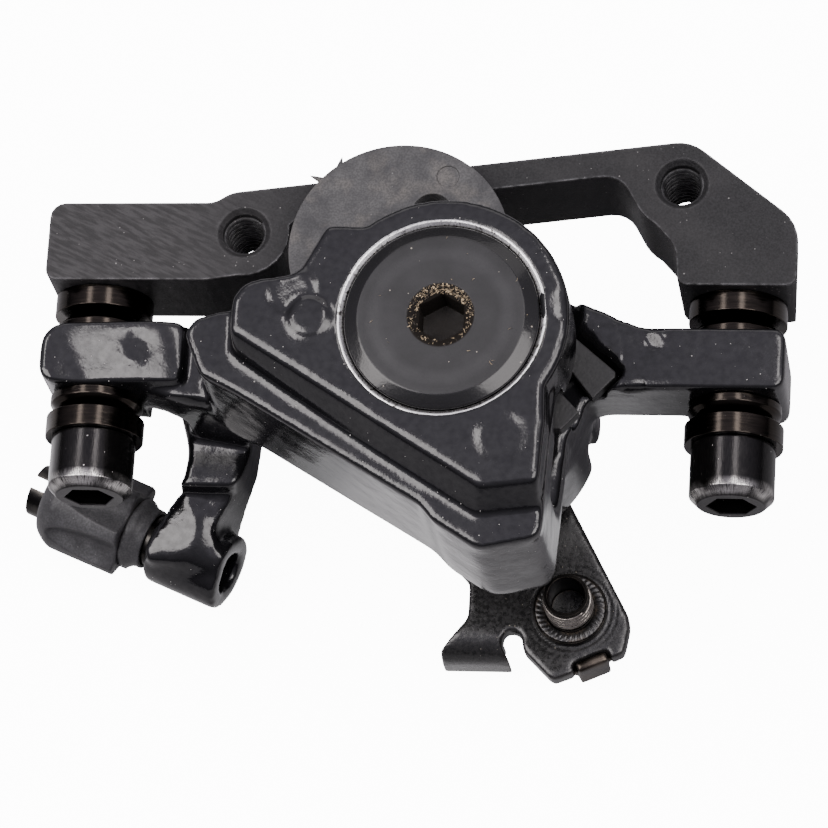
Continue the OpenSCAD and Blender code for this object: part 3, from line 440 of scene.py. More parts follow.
# Heights of the arm along Y and of the right ear along its distance from the axis, drawn and eased, then
# the two edges of the pad's tab as a direction outwards and a distance from the axis.
arm_drawn = [-17.5, -9.9, -9.4, -1.7], [-21.4, -19.4, -15.5, -15.5]
arm_eased = [-18.6, -17.0, -9.9, -9.4, -5.0, -1.7], [-21.4, -20.2, -18.3, -16.2, -16.2, -15.5]
ear_drawn = [18.5, 21.5], [-5.9, -2.5]
ear_eased = [13.5, 25.2], [-3.3, -2.5]
tab_edges, tab_gap, dish_floor = [(0.648, 0.762, 12.06), (0.734, -0.68, 13.21)], 0.45, -5.9


def body_skin():
    """The casting's remesh with its arm and right ear eased, relaxed by zones, then leaned and thinned."""
    mesh, points, edges = even_skin("caliper_body", 0.32)
    x, y, z = points.T.copy()
    out = np.hypot(x, y)
    bore = (out < 12.0) & (z > -23.5)
    ears = (np.abs(x + 5.8) > 21.0) & (y > -3.2)
    arm = (x < -23.0) & (y < -1.5) & (z < -8.0)
    ease(points, arm, np.interp(y, *arm_drawn), np.interp(y, *arm_eased))
    from_tab = np.max([along_x * x + along_y * y - far for along_x, along_y, far in tab_edges], axis=0)
    level = np.where(from_tab > tab_gap, np.interp(out, *ear_eased), dish_floor)
    ease(points, (x > 13.2) & (y > -4.0) & (z < -2.0), np.interp(out, *ear_drawn), level)
    crisp = bore | ((from_tab < 1.6) & (x > 12.5) & (np.abs(z + 5.0) < 2.0))
    points = relax(points, edges, np.where(crisp, 0.12, 0.5), 10)
    tabs = (x > 8.0) & (x < 20.0) & (y > -10.0) & (np.abs(z) < 8.0)
    low = np.where(arm | tabs, 0.05, 0.5 * np.clip((8.8 - z) / 1.5, 0, 1))
    points = relax(points, edges, np.where(bore | ears, 0.0, low), 45)
    mesh.vertices.foreach_set("co", (lean(points) * MM).reshape(-1))
    mesh = with_step(mesh, "DECIMATE", ratio=0.62)
    skin = place("painted_casting", mesh, "caliper", body_paint)
    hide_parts("caliper_body")
    return skin


casting = body_skin()
print("casting:", len(casting.data.vertices), "points", len(casting.data.polygons), "faces")

# %% [markdown]
# ## The bare rim
# After painting, the bore is cut once more for the thread, and the cutter leaves a ring of bare metal at
# its mouth. It is a thin ring swept round the axis. Its outer edge wanders, because paint chips unevenly,
# so three waves of different lengths are added to the radius.

# %% Cut metal and the rim
def cut_metal():
    material, tree, shader = start("cut_metal", (0.7, 0.7, 0.69), 0.3, 1.0)
    nicks = use(tree, grain, Scale=1900.0, Detail=4.0)["Value"]
    fine = use(tree, grain, Scale=5200.0, Detail=2.0)["Value"]
    dirt = ramp(tree, nicks, 0.58, 0.68)
    tone = blend_colours(tree, dirt, (0.74, 0.74, 0.73, 1), (0.1, 0.095, 0.085, 1))
    tree.links.new(tone, shader.inputs["Base Color"])
    tree.links.new(ramp(tree, fine, 0.3, 0.75, 0.24, 0.46), shader.inputs["Roughness"])
    bump(tree, shader, (nicks, 0.00003), (fine, 0.000008))
    return material


def rim_ring(turns=288):
    """A closed profile of six radius and height pairs swept round Z, its upper edge moved by three waves."""
    turn = np.linspace(0, 2 * np.pi, turns, endpoint=False)
    wander = 0.03 * np.sin(3 * turn + 0.6) + 0.015 * np.sin(17 * turn + 2.1) + 0.012 * np.sin(43 * turn)
    share = np.array([0, 0, 0.4, 1, 1, 0])[:, None]
    radius = np.array([11.03, 11.2, 11.45, 11.72, 11.76, 11.1])[:, None] + share * wander
    height = np.array([13.46, 13.63, 13.86, 14.07, 13.9, 13.2])[:, None] + 0 * turn
    return radius[..., None] * ring_dirs(turn) + height[..., None] * np.array([0, 0, 1.0])


bare_metal = cut_metal()
rim = surface("bare_rim", rim_ring(), "caliper", bare_metal, wrap_rows=True, wrap_cols=True)
print("rim:", len(rim.data.polygons), "faces")

# %% [markdown]
# ## Machined and stamped pieces
# These keep their drawn shape, but no real edge is sharp. A merged copy of the node, with its flat faces
# joined again, takes a small live Bevel on every edge that turns more than 30 degrees. The bevel catches
# a thin highlight, and the worn-edge effect finds it.

# %% Rounded copy of a node
def rounded(node, name, finish, width_mm=0.15, segments=2):
    """A merged copy of a node with a live Bevel, in the node's place."""
    mesh = joined(node)
    work = bmesh.new()
    work.from_mesh(mesh)
    bmesh.ops.dissolve_limit(work, angle_limit=math.radians(0.5), verts=work.verts[:], edges=work.edges[:])
    work.to_mesh(mesh)
    work.free()
    piece = place(name, mesh, node_body[node], finish)
    edge = piece.modifiers.new("edges", "BEVEL")
    edge.limit_method, edge.angle_limit = "ANGLE", math.radians(30)
    edge.width, edge.segments, edge.harden_normals = width_mm * MM, segments, True
    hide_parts(node)
    return piece

# %% [markdown]
# ## Adapter: matte black coat
# The bracket has a dry, slightly sparkling coat, painted paler towards its left end, that is rubbed
# through to grey metal along its edges. A noise stretched along one direction draws faint marks, stronger
# towards the left end. Fine noise changes both colour and roughness, and the dust effect adds pale grit.

# %% Adapter finish
def matte_coat():
    material, tree, shader = start("matte_coat", (0.02, 0.02, 0.021), 0.5, Specular_IOR_Level=0.2)
    fine = use(tree, grain, Scale=5200.0, Detail=2.0)["Value"]
    cloud = use(tree, grain, Scale=170.0, Detail=5.0)["Value"]
    grit = use(tree, dust, Scale=1500.0, Share=0.3, Size=0.13)["Mask"]
    rubbed = use(tree, worn, Reach=0.0005, Gain=2.4, Patch=1100.0)["Mask"]
    blacks = (0.009, 0.009, 0.0094, 1), (0.021, 0.021, 0.0222, 1)
    coat = blend_colours(tree, ramp(tree, fine, 0.35, 0.7), *blacks)
    slanted = {"Vector": spot(tree), "Rotation": (0.0, 0.0, -0.45), "Scale": (1.0, 0.2, 1.0)}
    turned = add(tree, "Mapping", slanted, vector_type="TEXTURE")
    drag = add(tree, "TexNoise", {"Vector": turned.outputs[0], "Scale": 420.0, "Detail": 7.0}).outputs["Fac"]
    coat = blend_colours(tree, ramp(tree, cloud, 0.45, 0.8, 0.0, 0.35), coat, (0.042, 0.041, 0.0405, 1))
    along = add(tree, "SeparateXYZ", {0: spot(tree)}).outputs["X"]
    # Paler and more scratched towards the left end.
    toward_left_end = ramp(tree, along, -0.018, -0.034)
    coat = blend_colours(tree, sums(tree, "MULTIPLY", toward_left_end, 0.6), coat, (0.055, 0.053, 0.054, 1))
    marks = ramp(tree, drag, 0.42, 0.6, 0.55, 0.0)
    marks = sums(tree, "MULTIPLY", marks, ramp(tree, toward_left_end, 0.0, 1.0, 0.2, 1.0))
    coat = blend_colours(tree, marks, coat, (0.006, 0.006, 0.006, 1))
    coat = blend_colours(tree, sums(tree, "MULTIPLY", grit, 0.55), coat, (0.3, 0.29, 0.28, 1))
    coat = blend_colours(tree, rubbed, coat, (0.3, 0.3, 0.31, 1))
    tree.links.new(coat, shader.inputs["Base Color"])
    tree.links.new(sums(tree, "MULTIPLY", rubbed, 0.8), shader.inputs["Metallic"])
    tree.links.new(ramp(tree, fine, 0.3, 0.75, 0.36, 0.6), shader.inputs["Roughness"])
    bump(tree, shader, (sums(tree, "MULTIPLY", drag, toward_left_end), 0.00004), (fine, 0.000018))
    return material


adapter_coat = matte_coat()
bracket = rounded("adapter_bracket", "adapter", adapter_coat, 0.35, 3)

# %% [markdown]
# ## Threads
# A thread is a small profile carried along a helix. The drawn holes are plain, so the ridge stands a
# little inside the wall, and the slanted light picks out its turns. One function also makes the thread
# on the cable clamp's stub, with the ridge pointing outwards.

# %% Helical ridges
def helix_ridge(middles, wall_r, crest_r, pitch, low, high, steps=30):
    """A four-point profile carried up a helix: height grows by one pitch for each turn."""
    t = np.linspace(0, (high - low) / pitch, int(steps * (high - low) / pitch))
    radius = np.array([wall_r, crest_r, crest_r, wall_r])
    lift = np.array([-0.42, -0.09, 0.09, 0.42]) * pitch
    ridge = radius[None, :, None] * ring_dirs(2 * np.pi * t)[:, None]
    ridge[..., 2] = low + pitch * t[:, None] + lift
    return np.array([[*m, 0.0] for m in middles])[:, None, None] + ridge[None]


mounts_mm = {mount["name"]: np.array(mount["pos_m"]) / MM for mount in frame["record"]["mounts"]}
frame_holes = [np.round(mounts_mm[name][:2], 2) for name in ("frame_hole_left", "frame_hole_right")]
hole_ridge = helix_ridge(frame_holes, 2.62, 2.2, 1.0, -13.2, -3.1)
hole_thread = surface("hole_threads", hole_ridge, "caliper", adapter_coat, wrap_cols=True)
print("frame holes in mm:", [hole.tolist() for hole in frame_holes])
print("hole threads:", len(hole_thread.data.polygons), "faces")

# %% [markdown]
# ## Bolts: black oxide, knocked bright
# The bolt heads are smooth oxide black, and their end edge is rubbed to bare steel in short scratches that
# point at the axis. The scratches are a noise that reads the angle round the nearest bolt: both bolts are
# one node, so the distance from the middle between them is folded over. Height and radius pick the edge.

# %% Bolt finish
bolt_mid_x, bolt_half, bolt_z = -5.8 * MM, 37.1 * MM, -9.0 * MM


def oxide_bolts():
    material, tree, shader = start("oxide_bolts", (0.02, 0.019, 0.019), 0.2, 0.9)
    axes = add(tree, "SeparateXYZ", {0: spot(tree)}).outputs
    from_mid = sums(tree, "ABSOLUTE", sums(tree, "SUBTRACT", axes["X"], bolt_mid_x))
    across = sums(tree, "SUBTRACT", from_mid, bolt_half)
    deep = sums(tree, "SUBTRACT", axes["Z"], bolt_z)
    turn = sums(tree, "ARCTAN2", deep, across)
    flat = add(tree, "CombineXYZ", {"X": across, "Y": deep}).outputs[0]
    radius = add(tree, "VectorMath", {0: flat}, operation="LENGTH").outputs["Value"]
    around, along = sums(tree, "MULTIPLY", turn, 16.0), sums(tree, "MULTIPLY", axes["Y"], 500.0)
    at = add(tree, "CombineXYZ", {"X": around, "Y": along})
    scratch = add(tree, "TexNoise", {"Vector": at.outputs[0], "Scale": 2.4, "Detail": 5.0}).outputs["Fac"]
    patch = use(tree, grain, Scale=330.0, Detail=2.0)["Value"]
    edge = ramp(tree, axes["Y"], -0.0117, -0.0131)
    edge = sums(tree, "MULTIPLY", edge, ramp(tree, radius, 0.0039, 0.0043))
    rub = sums(tree, "MULTIPLY", edge, ramp(tree, patch, 0.32, 0.6))
    bare = sums(tree, "MULTIPLY", rub, ramp(tree, scratch, 0.34, 0.5))
    specks = use(tree, dust, Scale=1300.0, Share=0.5, Size=0.12)["Mask"]
    bare = sums(tree, "MAXIMUM", bare, sums(tree, "MULTIPLY", specks, 0.55))
    blacks = (0.016, 0.0155, 0.016, 1), (0.034, 0.032, 0.031, 1)
    oxide = blend_colours(tree, ramp(tree, scratch, 0.4, 0.8), *blacks)
    tree.links.new(blend_colours(tree, bare, oxide, (0.78, 0.76, 0.73, 1)), shader.inputs["Base Color"])
    tree.links.new(ramp(tree, patch, 0.3, 0.8, 0.13, 0.26), shader.inputs["Roughness"])
    bump(tree, shader, (scratch, 0.000008), (sums(tree, "MULTIPLY", bare, -1.0), 0.00002))
    return material


bolt_oxide = oxide_bolts()
bolts = rounded("mount_bolts", "mount_bolts_worn", bolt_oxide, 0.2)

# %% [markdown]
# ## Washers: burnished brown steel
# The cup and ball washers are hardened and oiled, which leaves a warm dark brown with a polished sheen.
# Short streaks run round them, read from the height along the bolt.

# %% Washer finish
def oiled_steel(name, dark, light, low, high, streak=1.0):
    material, tree, shader = start(name, dark, 0.25, 1.0)
    round_marks = add(tree, "Mapping", {"Vector": spot(tree), "Scale": (1.0, streak, 1.0)})
    streaks = {"Vector": round_marks.outputs[0], "Scale": 420.0, "Detail": 5.0}
    marks = add(tree, "TexNoise", streaks).outputs["Fac"]
    edge = use(tree, worn, Reach=0.0003, Gain=1.6, Patch=800.0)["Mask"]
    specks = use(tree, dust, Scale=1500.0, Share=0.2, Size=0.1)["Mask"]
    tone = blend_colours(tree, ramp(tree, marks, 0.35, 0.7), (*dark, 1), (*light, 1))
    tone = blend_colours(tree, sums(tree, "MULTIPLY", edge, 0.7), tone, (0.34, 0.29, 0.24, 1))
    tree.links.new(blend_colours(tree, specks, tone, (0.4, 0.38, 0.35, 1)), shader.inputs["Base Color"])
    tree.links.new(ramp(tree, marks, 0.3, 0.75, low, high), shader.inputs["Roughness"])
    bump(tree, shader, (marks, 0.000012))
    return material


washer_brown = oiled_steel("oiled_brown", (0.019, 0.0165, 0.0145), (0.036, 0.03, 0.0255), 0.13, 0.2, 14.0)
for stack in ("upper_cup_washers", "upper_ball_washers", "lower_ball_washers", "lower_cup_washers"):
    rounded(stack, stack + "_oiled", washer_brown, 0.12)

# %% [markdown]
# ## Pad adjuster: satin plug
# The plug's face is satin grey-black with a shallow step pressed into it, which carries a lighter ring of
# painted sheen, and its chamfer is left glossy.
# The drawn plug's cone is one ring of long faces, which breaks up a highlight, so the plug is turned again
# from a profile. In the socket the radius follows a hexagon: the flat's distance over the cosine of the
# angle from the flat's middle.

# %% Plug finish
def satin_plug():
    material, tree, shader = start("satin_plug", (0.02, 0.02, 0.021), 0.45, 0.0, Specular_IOR_Level=0.3)
    axes = add(tree, "SeparateXYZ", {0: spot(tree)}).outputs
    flat = add(tree, "CombineXYZ", {"X": axes["X"], "Y": axes["Y"]}).outputs[0]
    radius = add(tree, "VectorMath", {0: flat}, operation="LENGTH").outputs["Value"]
    fine = use(tree, grain, Scale=3800.0, Detail=2.0)["Value"]
    cloud = use(tree, grain, Scale=260.0, Detail=4.0)["Value"]
    specks = use(tree, dust, Scale=1000.0, Share=0.35, Size=0.1)["Mask"]
    rim = ramp(tree, radius, 0.0093, 0.0095)
    greasy = ramp(tree, radius, 0.0039, 0.0037)
    # A lighter ring over the pressed step is painted sheen.
    step_sheen = sums(tree, "MULTIPLY", ramp(tree, radius, 0.0064, 0.0073), ramp(tree, radius, 0.0086, 0.0078))
    tone = sums(tree, "ADD", ramp(tree, cloud, 0.3, 0.8, 0.0, 0.6), sums(tree, "MULTIPLY", step_sheen, 0.4))
    face = blend_colours(tree, tone, (0.013, 0.013, 0.0138, 1), (0.031, 0.031, 0.0324, 1))
    face = blend_colours(tree, rim, face, (0.004, 0.004, 0.004, 1))
    face = blend_colours(tree, specks, face, (0.3, 0.27, 0.23, 1))
    tree.links.new(blend_colours(tree, greasy, face, (0.012, 0.0102, 0.0086, 1)), shader.inputs["Base Color"])
    satin = ramp(tree, fine, 0.3, 0.75, 0.42, 0.58)
    tree.links.new(add(tree, "Mix", {0: rim, 2: satin, 3: 0.17}).outputs[0], shader.inputs["Roughness"])
    tree.links.new(sums(tree, "MULTIPLY", rim, 0.25), shader.inputs["Coat Weight"])
    tree.links.new(ramp(tree, greasy, 0.0, 1.0, 0.3, 0.14), shader.inputs["Specular IOR Level"])
    bump(tree, shader, (cloud, 0.00006), (fine, 0.000008))
    return material

# %% Plug turned from a profile
def turned_plug(cols=288, key_half=2.5):
    """Rows of radius and height from the socket's floor over the face and down to the nose, all round Z."""
    turn = np.linspace(0, 2 * np.pi, cols, endpoint=False)
    key = key_half / np.cos((turn + np.pi / 6) % (np.pi / 3) - np.pi / 6)
    lip = 13.6 + (key - key_half) / 1.3
    socket_r = np.stack([0 * key, 0.97 * key, key, key, key, key, key + 0.04])
    socket_z = np.stack([lip * 0 + h for h in (10.1, 10.1, 10.13, 10.3, 13.2)] + [lip - 0.05, lip + 0.03])
    outside = np.array([
        (3.7, 14.52), (3.76, 14.57), (3.84, 14.6), (4.0, 14.6), (6.9, 14.6), (7.3, 14.59), (8.2, 14.53),
        (8.6, 14.52), (9.28, 14.52), (9.38, 14.505), (9.5, 14.46), (9.62, 14.405), (10.8, 13.85),
        (10.93, 13.78), (11.0, 13.68), (10.9, 13.5), (10.85, 9.85), (10.8, 9.78), (9.68, 9.75),
        (9.68, 8.45), (10.8, 8.42), (10.85, 8.35), (10.7, 7.6), (10.2, 7.1), (8.5, 7.1), (8.5, 5.2),
        (8.4, 5.1), (3.3, 5.1), (3.22, 5.18), (3.22, 6.3), (0, 6.3)])
    radius = np.vstack([socket_r, outside[:, :1] + 0 * turn])
    height = np.vstack([socket_z, outside[:, 1:] + 0 * turn])
    return radius[..., None] * ring_dirs(turn) + height[..., None] * np.array([0, 0, 1.0])


plug_satin = satin_plug()
plug = surface("adjuster_plug", turned_plug(), "adjuster", plug_satin, wrap_cols=True)
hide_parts("pad_adjuster")
print("plug:", len(plug.data.polygons), "faces")

# %% [markdown]
# ## Crumbs in the socket
# Chips of packing dust stick to the grease round the key socket. They are a few hundred tiny bent rods of
# two dozen faces each, scattered on the countersink from one seeded set of random numbers, thicker on the
# far side where the light shows them.

# %% Crumbs
def chips(middles, lengths, thick, rng):
    """Each chip is a rod of five rings of four points: the ring shrinks to nothing at both ends."""
    count = len(middles)
    heading = rng.normal(size=(count, 3)) * [1, 1, 0.5]
    heading /= np.linalg.norm(heading, axis=1, keepdims=True)
    side = np.cross(heading, [0.31, -0.52, 0.8])
    side /= np.linalg.norm(side, axis=1, keepdims=True)
    lift = np.cross(heading, side)
    u = np.linspace(-1, 1, 5)
    v = np.linspace(0, 2 * np.pi, 4, endpoint=False)
    swell = np.sqrt(1 - u**2)[None, :, None] * thick[:, None, None] * rng.uniform(0.6, 1.2, (count, 5, 1))
    spine = 0.5 * lengths[:, None, None, None] * u[:, None, None] * heading[:, None, None]
    bow = 0.2 * lengths[:, None, None, None] * (u**2)[:, None, None] * side[:, None, None]
    ring = np.cos(v)[:, None] * side[:, None, None] + np.sin(v)[:, None] * lift[:, None, None]
    return middles[:, None, None] + spine + bow + swell[..., None] * ring


def socket_crumbs(count=420):
    """Middles on the countersink, height rising with radius by its slope, and a few fibres on the face."""
    rng = np.random.default_rng(7)
    turn = np.where(rng.random(count) < 0.75, rng.normal(1.6, 0.95, count), rng.uniform(0, 2 * np.pi, count))
    radius = rng.uniform(2.8, 3.75, count)
    middles = radius[:, None] * ring_dirs(turn)
    middles[:, 2] = 13.62 + (radius - 2.5) / 1.3
    long, thick = rng.uniform(0.12, 0.6, count), 0.02 + 0.08 * rng.random(count) ** 2
    fibres = 14
    middles[:fibres] = rng.uniform(4.0, 10.0, fibres)[:, None] * ring_dirs(rng.uniform(0, 2 * np.pi, fibres))
    out = np.linalg.norm(middles[:fibres, :2], axis=1)
    middles[:fibres, 2] = np.interp(out, [8.0, 9.4, 10.0], [14.62, 14.54, 14.25])
    long[:fibres], thick[:fibres] = rng.uniform(0.3, 0.9, fibres), 0.03
    return chips(middles, long, thick, rng)


def crumb_tan():
    material, tree, shader = start("crumb_tan", (0.3, 0.2, 0.1), 0.7)
    tone = use(tree, grain, Scale=1500.0, Detail=1.0)["Value"]
    tans = (0.03, 0.023, 0.017, 1), (0.46, 0.36, 0.23, 1)
    tree.links.new(blend_colours(tree, ramp(tree, tone, 0.4, 0.68), *tans), shader.inputs["Base Color"])
    tree.links.new(ramp(tree, tone, 0.3, 0.7, 0.5, 0.85), shader.inputs["Roughness"])
    return material


packing_dust = crumb_tan()
crumbs = surface("socket_crumbs", socket_crumbs(), "adjuster", packing_dust, wrap_cols=True)
print("crumbs:", len(crumbs.data.polygons), "faces")

# %% [markdown]
# ## Lever: painted stamping
# The lever is pressed from thick sheet, so its edges roll over, and it is painted black. It gets the same
# skin as the casting, with fewer rounds of relaxing. The press left shallow rings round the clamp's hole,
# which are a wave in the distance from it, and the paint wore brown on the edges that the cable touches.

# %% Lever finish
def thin_paint():
    material, tree, shader = start("thin_paint", (0.006, 0.006, 0.006), 0.26)
    fine = use(tree, grain, Scale=2600.0, Detail=4.0)["Value"]
    peel = use(tree, grain, Scale=1300.0, Detail=2.0)["Value"]
    specks = use(tree, dust, Scale=1500.0, Share=0.5, Size=0.1)["Mask"]
    edge = use(tree, worn, Reach=0.0006, Gain=1.5, Patch=800.0)["Mask"]
    blacks = (0.008, 0.008, 0.0082, 1), (0.018, 0.0177, 0.0175, 1)
    tone = blend_colours(tree, ramp(tree, fine, 0.35, 0.75), *blacks)
    tone = blend_colours(tree, sums(tree, "MULTIPLY", specks, 0.6), tone, (0.3, 0.27, 0.22, 1))
    tone = blend_colours(tree, sums(tree, "MULTIPLY", edge, 0.8), tone, (0.16, 0.12, 0.08, 1))
    tree.links.new(tone, shader.inputs["Base Color"])
    tree.links.new(ramp(tree, fine, 0.3, 0.8, 0.2, 0.4), shader.inputs["Roughness"])
    bump(tree, shader, (peel, 0.00003), (fine, 0.000008))
    return material


lever_coat = thin_paint()
pinch_at = np.array([11.9, -21.5, 0.0])

# %% Lever and clamp washer
def soft_copy(node, name, finish, voxel_mm, rounds, shape=None):
    """A relaxed skin of a node in its place, changed by one more function of its points if given."""
    mesh, points, edges = even_skin(node, voxel_mm)
    points = relax(points, edges, np.full(len(points), 0.5), rounds)
    points = shape(points) if shape else points
    mesh.vertices.foreach_set("co", (points * MM).reshape(-1))
    skin = place(name, mesh, node_body[node], finish)
    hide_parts(node)
    return skin


def pressed_rings(points):
    """Raise and sink the front face by a wave in the distance from the clamp, fading out to the far ring."""
    near, far, front_z, height, spacing = 4.2, 6.2, -25.6, 0.09, 0.66
    away = np.hypot(*(points - pinch_at)[:, :2].T)
    front = (points[:, 2] > front_z) & (away > near) & (away < far)
    wave = height * (far - away) / 2 * np.sin(2 * np.pi * (away - near) / spacing)
    points[:, 2] += np.where(front, wave, 0)
    return points


lever = soft_copy("lever_arm", "stamped_lever", lever_coat, 0.25, 9, pressed_rings)
worn_bronze = oiled_steel("worn_tab", (0.02, 0.0175, 0.015), (0.085, 0.072, 0.06), 0.22, 0.4)
tab = soft_copy("pinch_washer", "clamp_washer", worn_bronze, 0.16, 24)
dark_steel = oiled_steel("dark_steel", (0.022, 0.021, 0.02), (0.07, 0.066, 0.06), 0.2, 0.36)
for node in ("lever_washer", "lever_bolt", "barrel_screw", "cam_shaft"):
    rounded(node, node + "_steel", dark_steel, 0.1)
# The collar is black oxide, and its near-black also paints the shade inside the stub's hollow.
stub_black_hollow_shade = oiled_steel("stub_black_hollow_shade", (0.005, 0.005, 0.005), (0.014, 0.013, 0.012), 0.3, 0.45)
rounded("pinch_collar", "stub_collar", stub_black_hollow_shade, 0.12)
rounded("pinch_bolt", "pinch_bolt_black", lever_coat, 0.1)
print("lever:", len(lever.data.polygons), "faces")

# %% [markdown]
# ## The clamp's stub
# The hollow stub is riveted into the lever: its outside is threaded and rubbed bright, and the ring round
# it is cut into teeth that grip the sheet. The teeth are one ring whose height follows a wave of 36 crests,
# faded at its inner and outer edge.

# %% Stub thread and teeth
def toothed_ring(teeth=36, rows=8):
    """Height above the flange is a rectified wave in the angle times an arch in the radius, closed below."""
    turn = np.linspace(0, 2 * np.pi, teeth * 10, endpoint=False)
    across = np.linspace(0, 1, rows)
    inner, outer, flange_z, under_z = 2.85, 4.15, -23.52, -23.7
    radius = inner + 1.3 * across
    arch = np.sin(np.pi * across)[:, None]
    height = flange_z + arch * (0.05 + 0.09 * np.abs(np.sin(0.5 * teeth * turn + 2.0 * across[:, None])))
    radius = np.append(radius, [outer, inner])
    height = np.vstack([height, np.full((2, len(turn)), under_z)])
    return pinch_at + radius[:, None, None] * ring_dirs(turn) + height[..., None] * np.array([0, 0, 1.0])


rubbed_steel = oiled_steel("rubbed_steel", (0.12, 0.11, 0.1), (0.4, 0.37, 0.33), 0.18, 0.34)
teeth = surface("stub_teeth", toothed_ring(), "lever", lever_coat,
                wrap_rows=True, wrap_cols=True)
stub_ridge = helix_ridge([pinch_at[:2]], 2.55, 2.88, 0.95, -23.2, -19.5)
stub_thread = surface("stub_thread", stub_ridge, "lever", rubbed_steel, wrap_cols=True)
print("teeth:", len(teeth.data.polygons), "faces, stub thread:", len(stub_thread.data.polygons), "faces")

# %% [markdown]
# ## Moulded plastic
# The knob and the spacer are moulded. The knob is an even dark grey with a fine skin, and the spacer is
# paler, hazed by handling and by the flow of the plastic, with grit in it.

# %% Knob, ring and spacer
def moulded(name, dark, light, stain, low, high, haze_scale):
    material, tree, shader = start(name, dark, 0.45, Specular_IOR_Level=0.25)
    fine = use(tree, grain, Scale=4200.0, Detail=2.0)["Value"]
    haze = use(tree, grain, Scale=haze_scale, Detail=6.0)["Value"]
    specks = use(tree, dust, Scale=1400.0, Share=0.25, Size=0.1)["Mask"]
    rubbed = use(tree, worn, Reach=0.0004, Gain=1.0, Patch=900.0)["Mask"]
    tone = blend_colours(tree, ramp(tree, haze, 0.36, 0.72), (*dark, 1), (*light, 1))
    blot = use(tree, grain, Scale=0.7 * haze_scale, Detail=9.0)["Value"]
    tone = blend_colours(tree, ramp(tree, blot, 0.52, 0.72, 0.0, 0.7), tone, (*stain, 1))
    pits = tuple(0.5 * c for c in dark) + (1,)
    tone = blend_colours(tree, ramp(tree, fine, 0.4, 0.62, 0.45, 0.0), tone, pits)
    tone = blend_colours(tree, sums(tree, "MULTIPLY", rubbed, 0.3), tone, (0.2, 0.2, 0.2, 1))
    tone = blend_colours(tree, sums(tree, "MULTIPLY", specks, 0.5), tone, (0.25, 0.25, 0.24, 1))
    tree.links.new(tone, shader.inputs["Base Color"])
    tree.links.new(ramp(tree, haze, 0.3, 0.8, low, high), shader.inputs["Roughness"])
    bump(tree, shader, (fine, 0.000012))
    return material


knob_grey = moulded("knob_grey", (0.042, 0.042, 0.044), (0.085, 0.085, 0.088), (0.11, 0.11, 0.112),
                    0.36, 0.5, 300.0)
spacer_grey = moulded("spacer_grey", (0.046, 0.046, 0.0475), (0.082, 0.081, 0.081), (0.13, 0.12, 0.108),
                      0.36, 0.52, 430.0)
disc = rounded("transport_spacer", "spacer_disc", spacer_grey, 0.2)

# %% [markdown]
# ## The fluted knob
# The knob of the barrel adjuster has six long flutes for the fingers, open towards the caliper and rounded
# at their outer end. A bevelled copy of the drawn knob looks faceted, so it is made again as a surface of
# revolution round the cable's line whose radius also falls inside each flute.

# %% Knob and friction ring
stop_at, cable_dir = np.array([-28.7, -17.1, -26.0]), np.array([-0.91914, 0.39394, 0.0])
cable_side = np.cross(cable_dir, [0, 0, 1.0])


def round_cable(along, radius, turn):
    """Points at a distance along the cable's line, a radius from it and an angle from straight up."""
    out = np.cos(turn)[..., None] * np.array([0, 0, 1.0]) + np.sin(turn)[..., None] * cable_side
    return stop_at + along[..., None] * cable_dir + radius[..., None] * out


def fluted(cols=240, rows=64):
    """Radius is the knob's, less a parabola across each flute whose width follows half an ellipse."""
    near_end, far_end, flute_half = [13.1, 13.1, 13.18], [23.8, 23.88, 23.9, 23.9], math.radians(23)
    along = np.concatenate([near_end, np.linspace(13.35, 23.6, rows), far_end])[:, None]
    turn = np.linspace(0, 2 * np.pi, cols, endpoint=False)[None]
    tip = np.clip((along - 21.7) / 2.2, 0, 1)
    outer = 5.8 - 1.25 * tip**1.6
    half = flute_half * np.sqrt(np.clip(1 - ((along - 13.6) / 8.3) ** 2, 1e-6, 1))
    off = (turn + math.pi / 6) % (math.pi / 3) - math.pi / 6
    dip = 1.3 * (half / flute_half) ** 0.8 * np.clip(1 - (off / half) ** 2, 0, 1)
    radius = outer - dip
    radius[:3] = np.stack([np.full(cols, 3.3), radius[2] - 0.3, radius[2] - 0.08])
    radius[-4:] -= np.array([0.05, 0.16, 0.3, 0.0])[:, None]
    radius[-1] = 3.3
    return round_cable(along + 0 * turn, radius, turn + 0 * along)


def neck(cols=96):
    """A profile of radius and distance swept round the cable's line: a neck that swells into a bead."""
    profile = np.array([(10.5, 3.3), (10.5, 3.55), (10.58, 3.65), (10.8, 3.68), (11.2, 3.68), (11.6, 3.78),
                        (11.95, 4.05), (12.3, 4.3), (12.65, 4.38), (12.9, 4.3), (13.05, 4.12), (13.1, 3.9),
                        (13.1, 3.3)])
    along, radius = profile[:, :1], profile[:, 1:]
    turn = np.linspace(0, 2 * np.pi, cols, endpoint=False)[None]
    return round_cable(along + 0 * turn, radius + 0 * turn, turn + 0 * along)


knob = surface("barrel_knob_fluted", fluted(), "barrel", knob_grey,
               wrap_rows=True, wrap_cols=True)
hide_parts("barrel_knob")
collar = surface("barrel_neck", neck(), "barrel_slider", knob_grey,
                 wrap_rows=True, wrap_cols=True)
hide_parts("barrel_ring")
print("knob:", len(knob.data.polygons), "faces, neck:", len(collar.data.polygons), "faces")

# %% [markdown]
# ## Flash on the spacer
# Where the plastic was poured in, two small torn points stand out from the disc's edge. Each is a square
# section that shrinks from the rim to a tip.

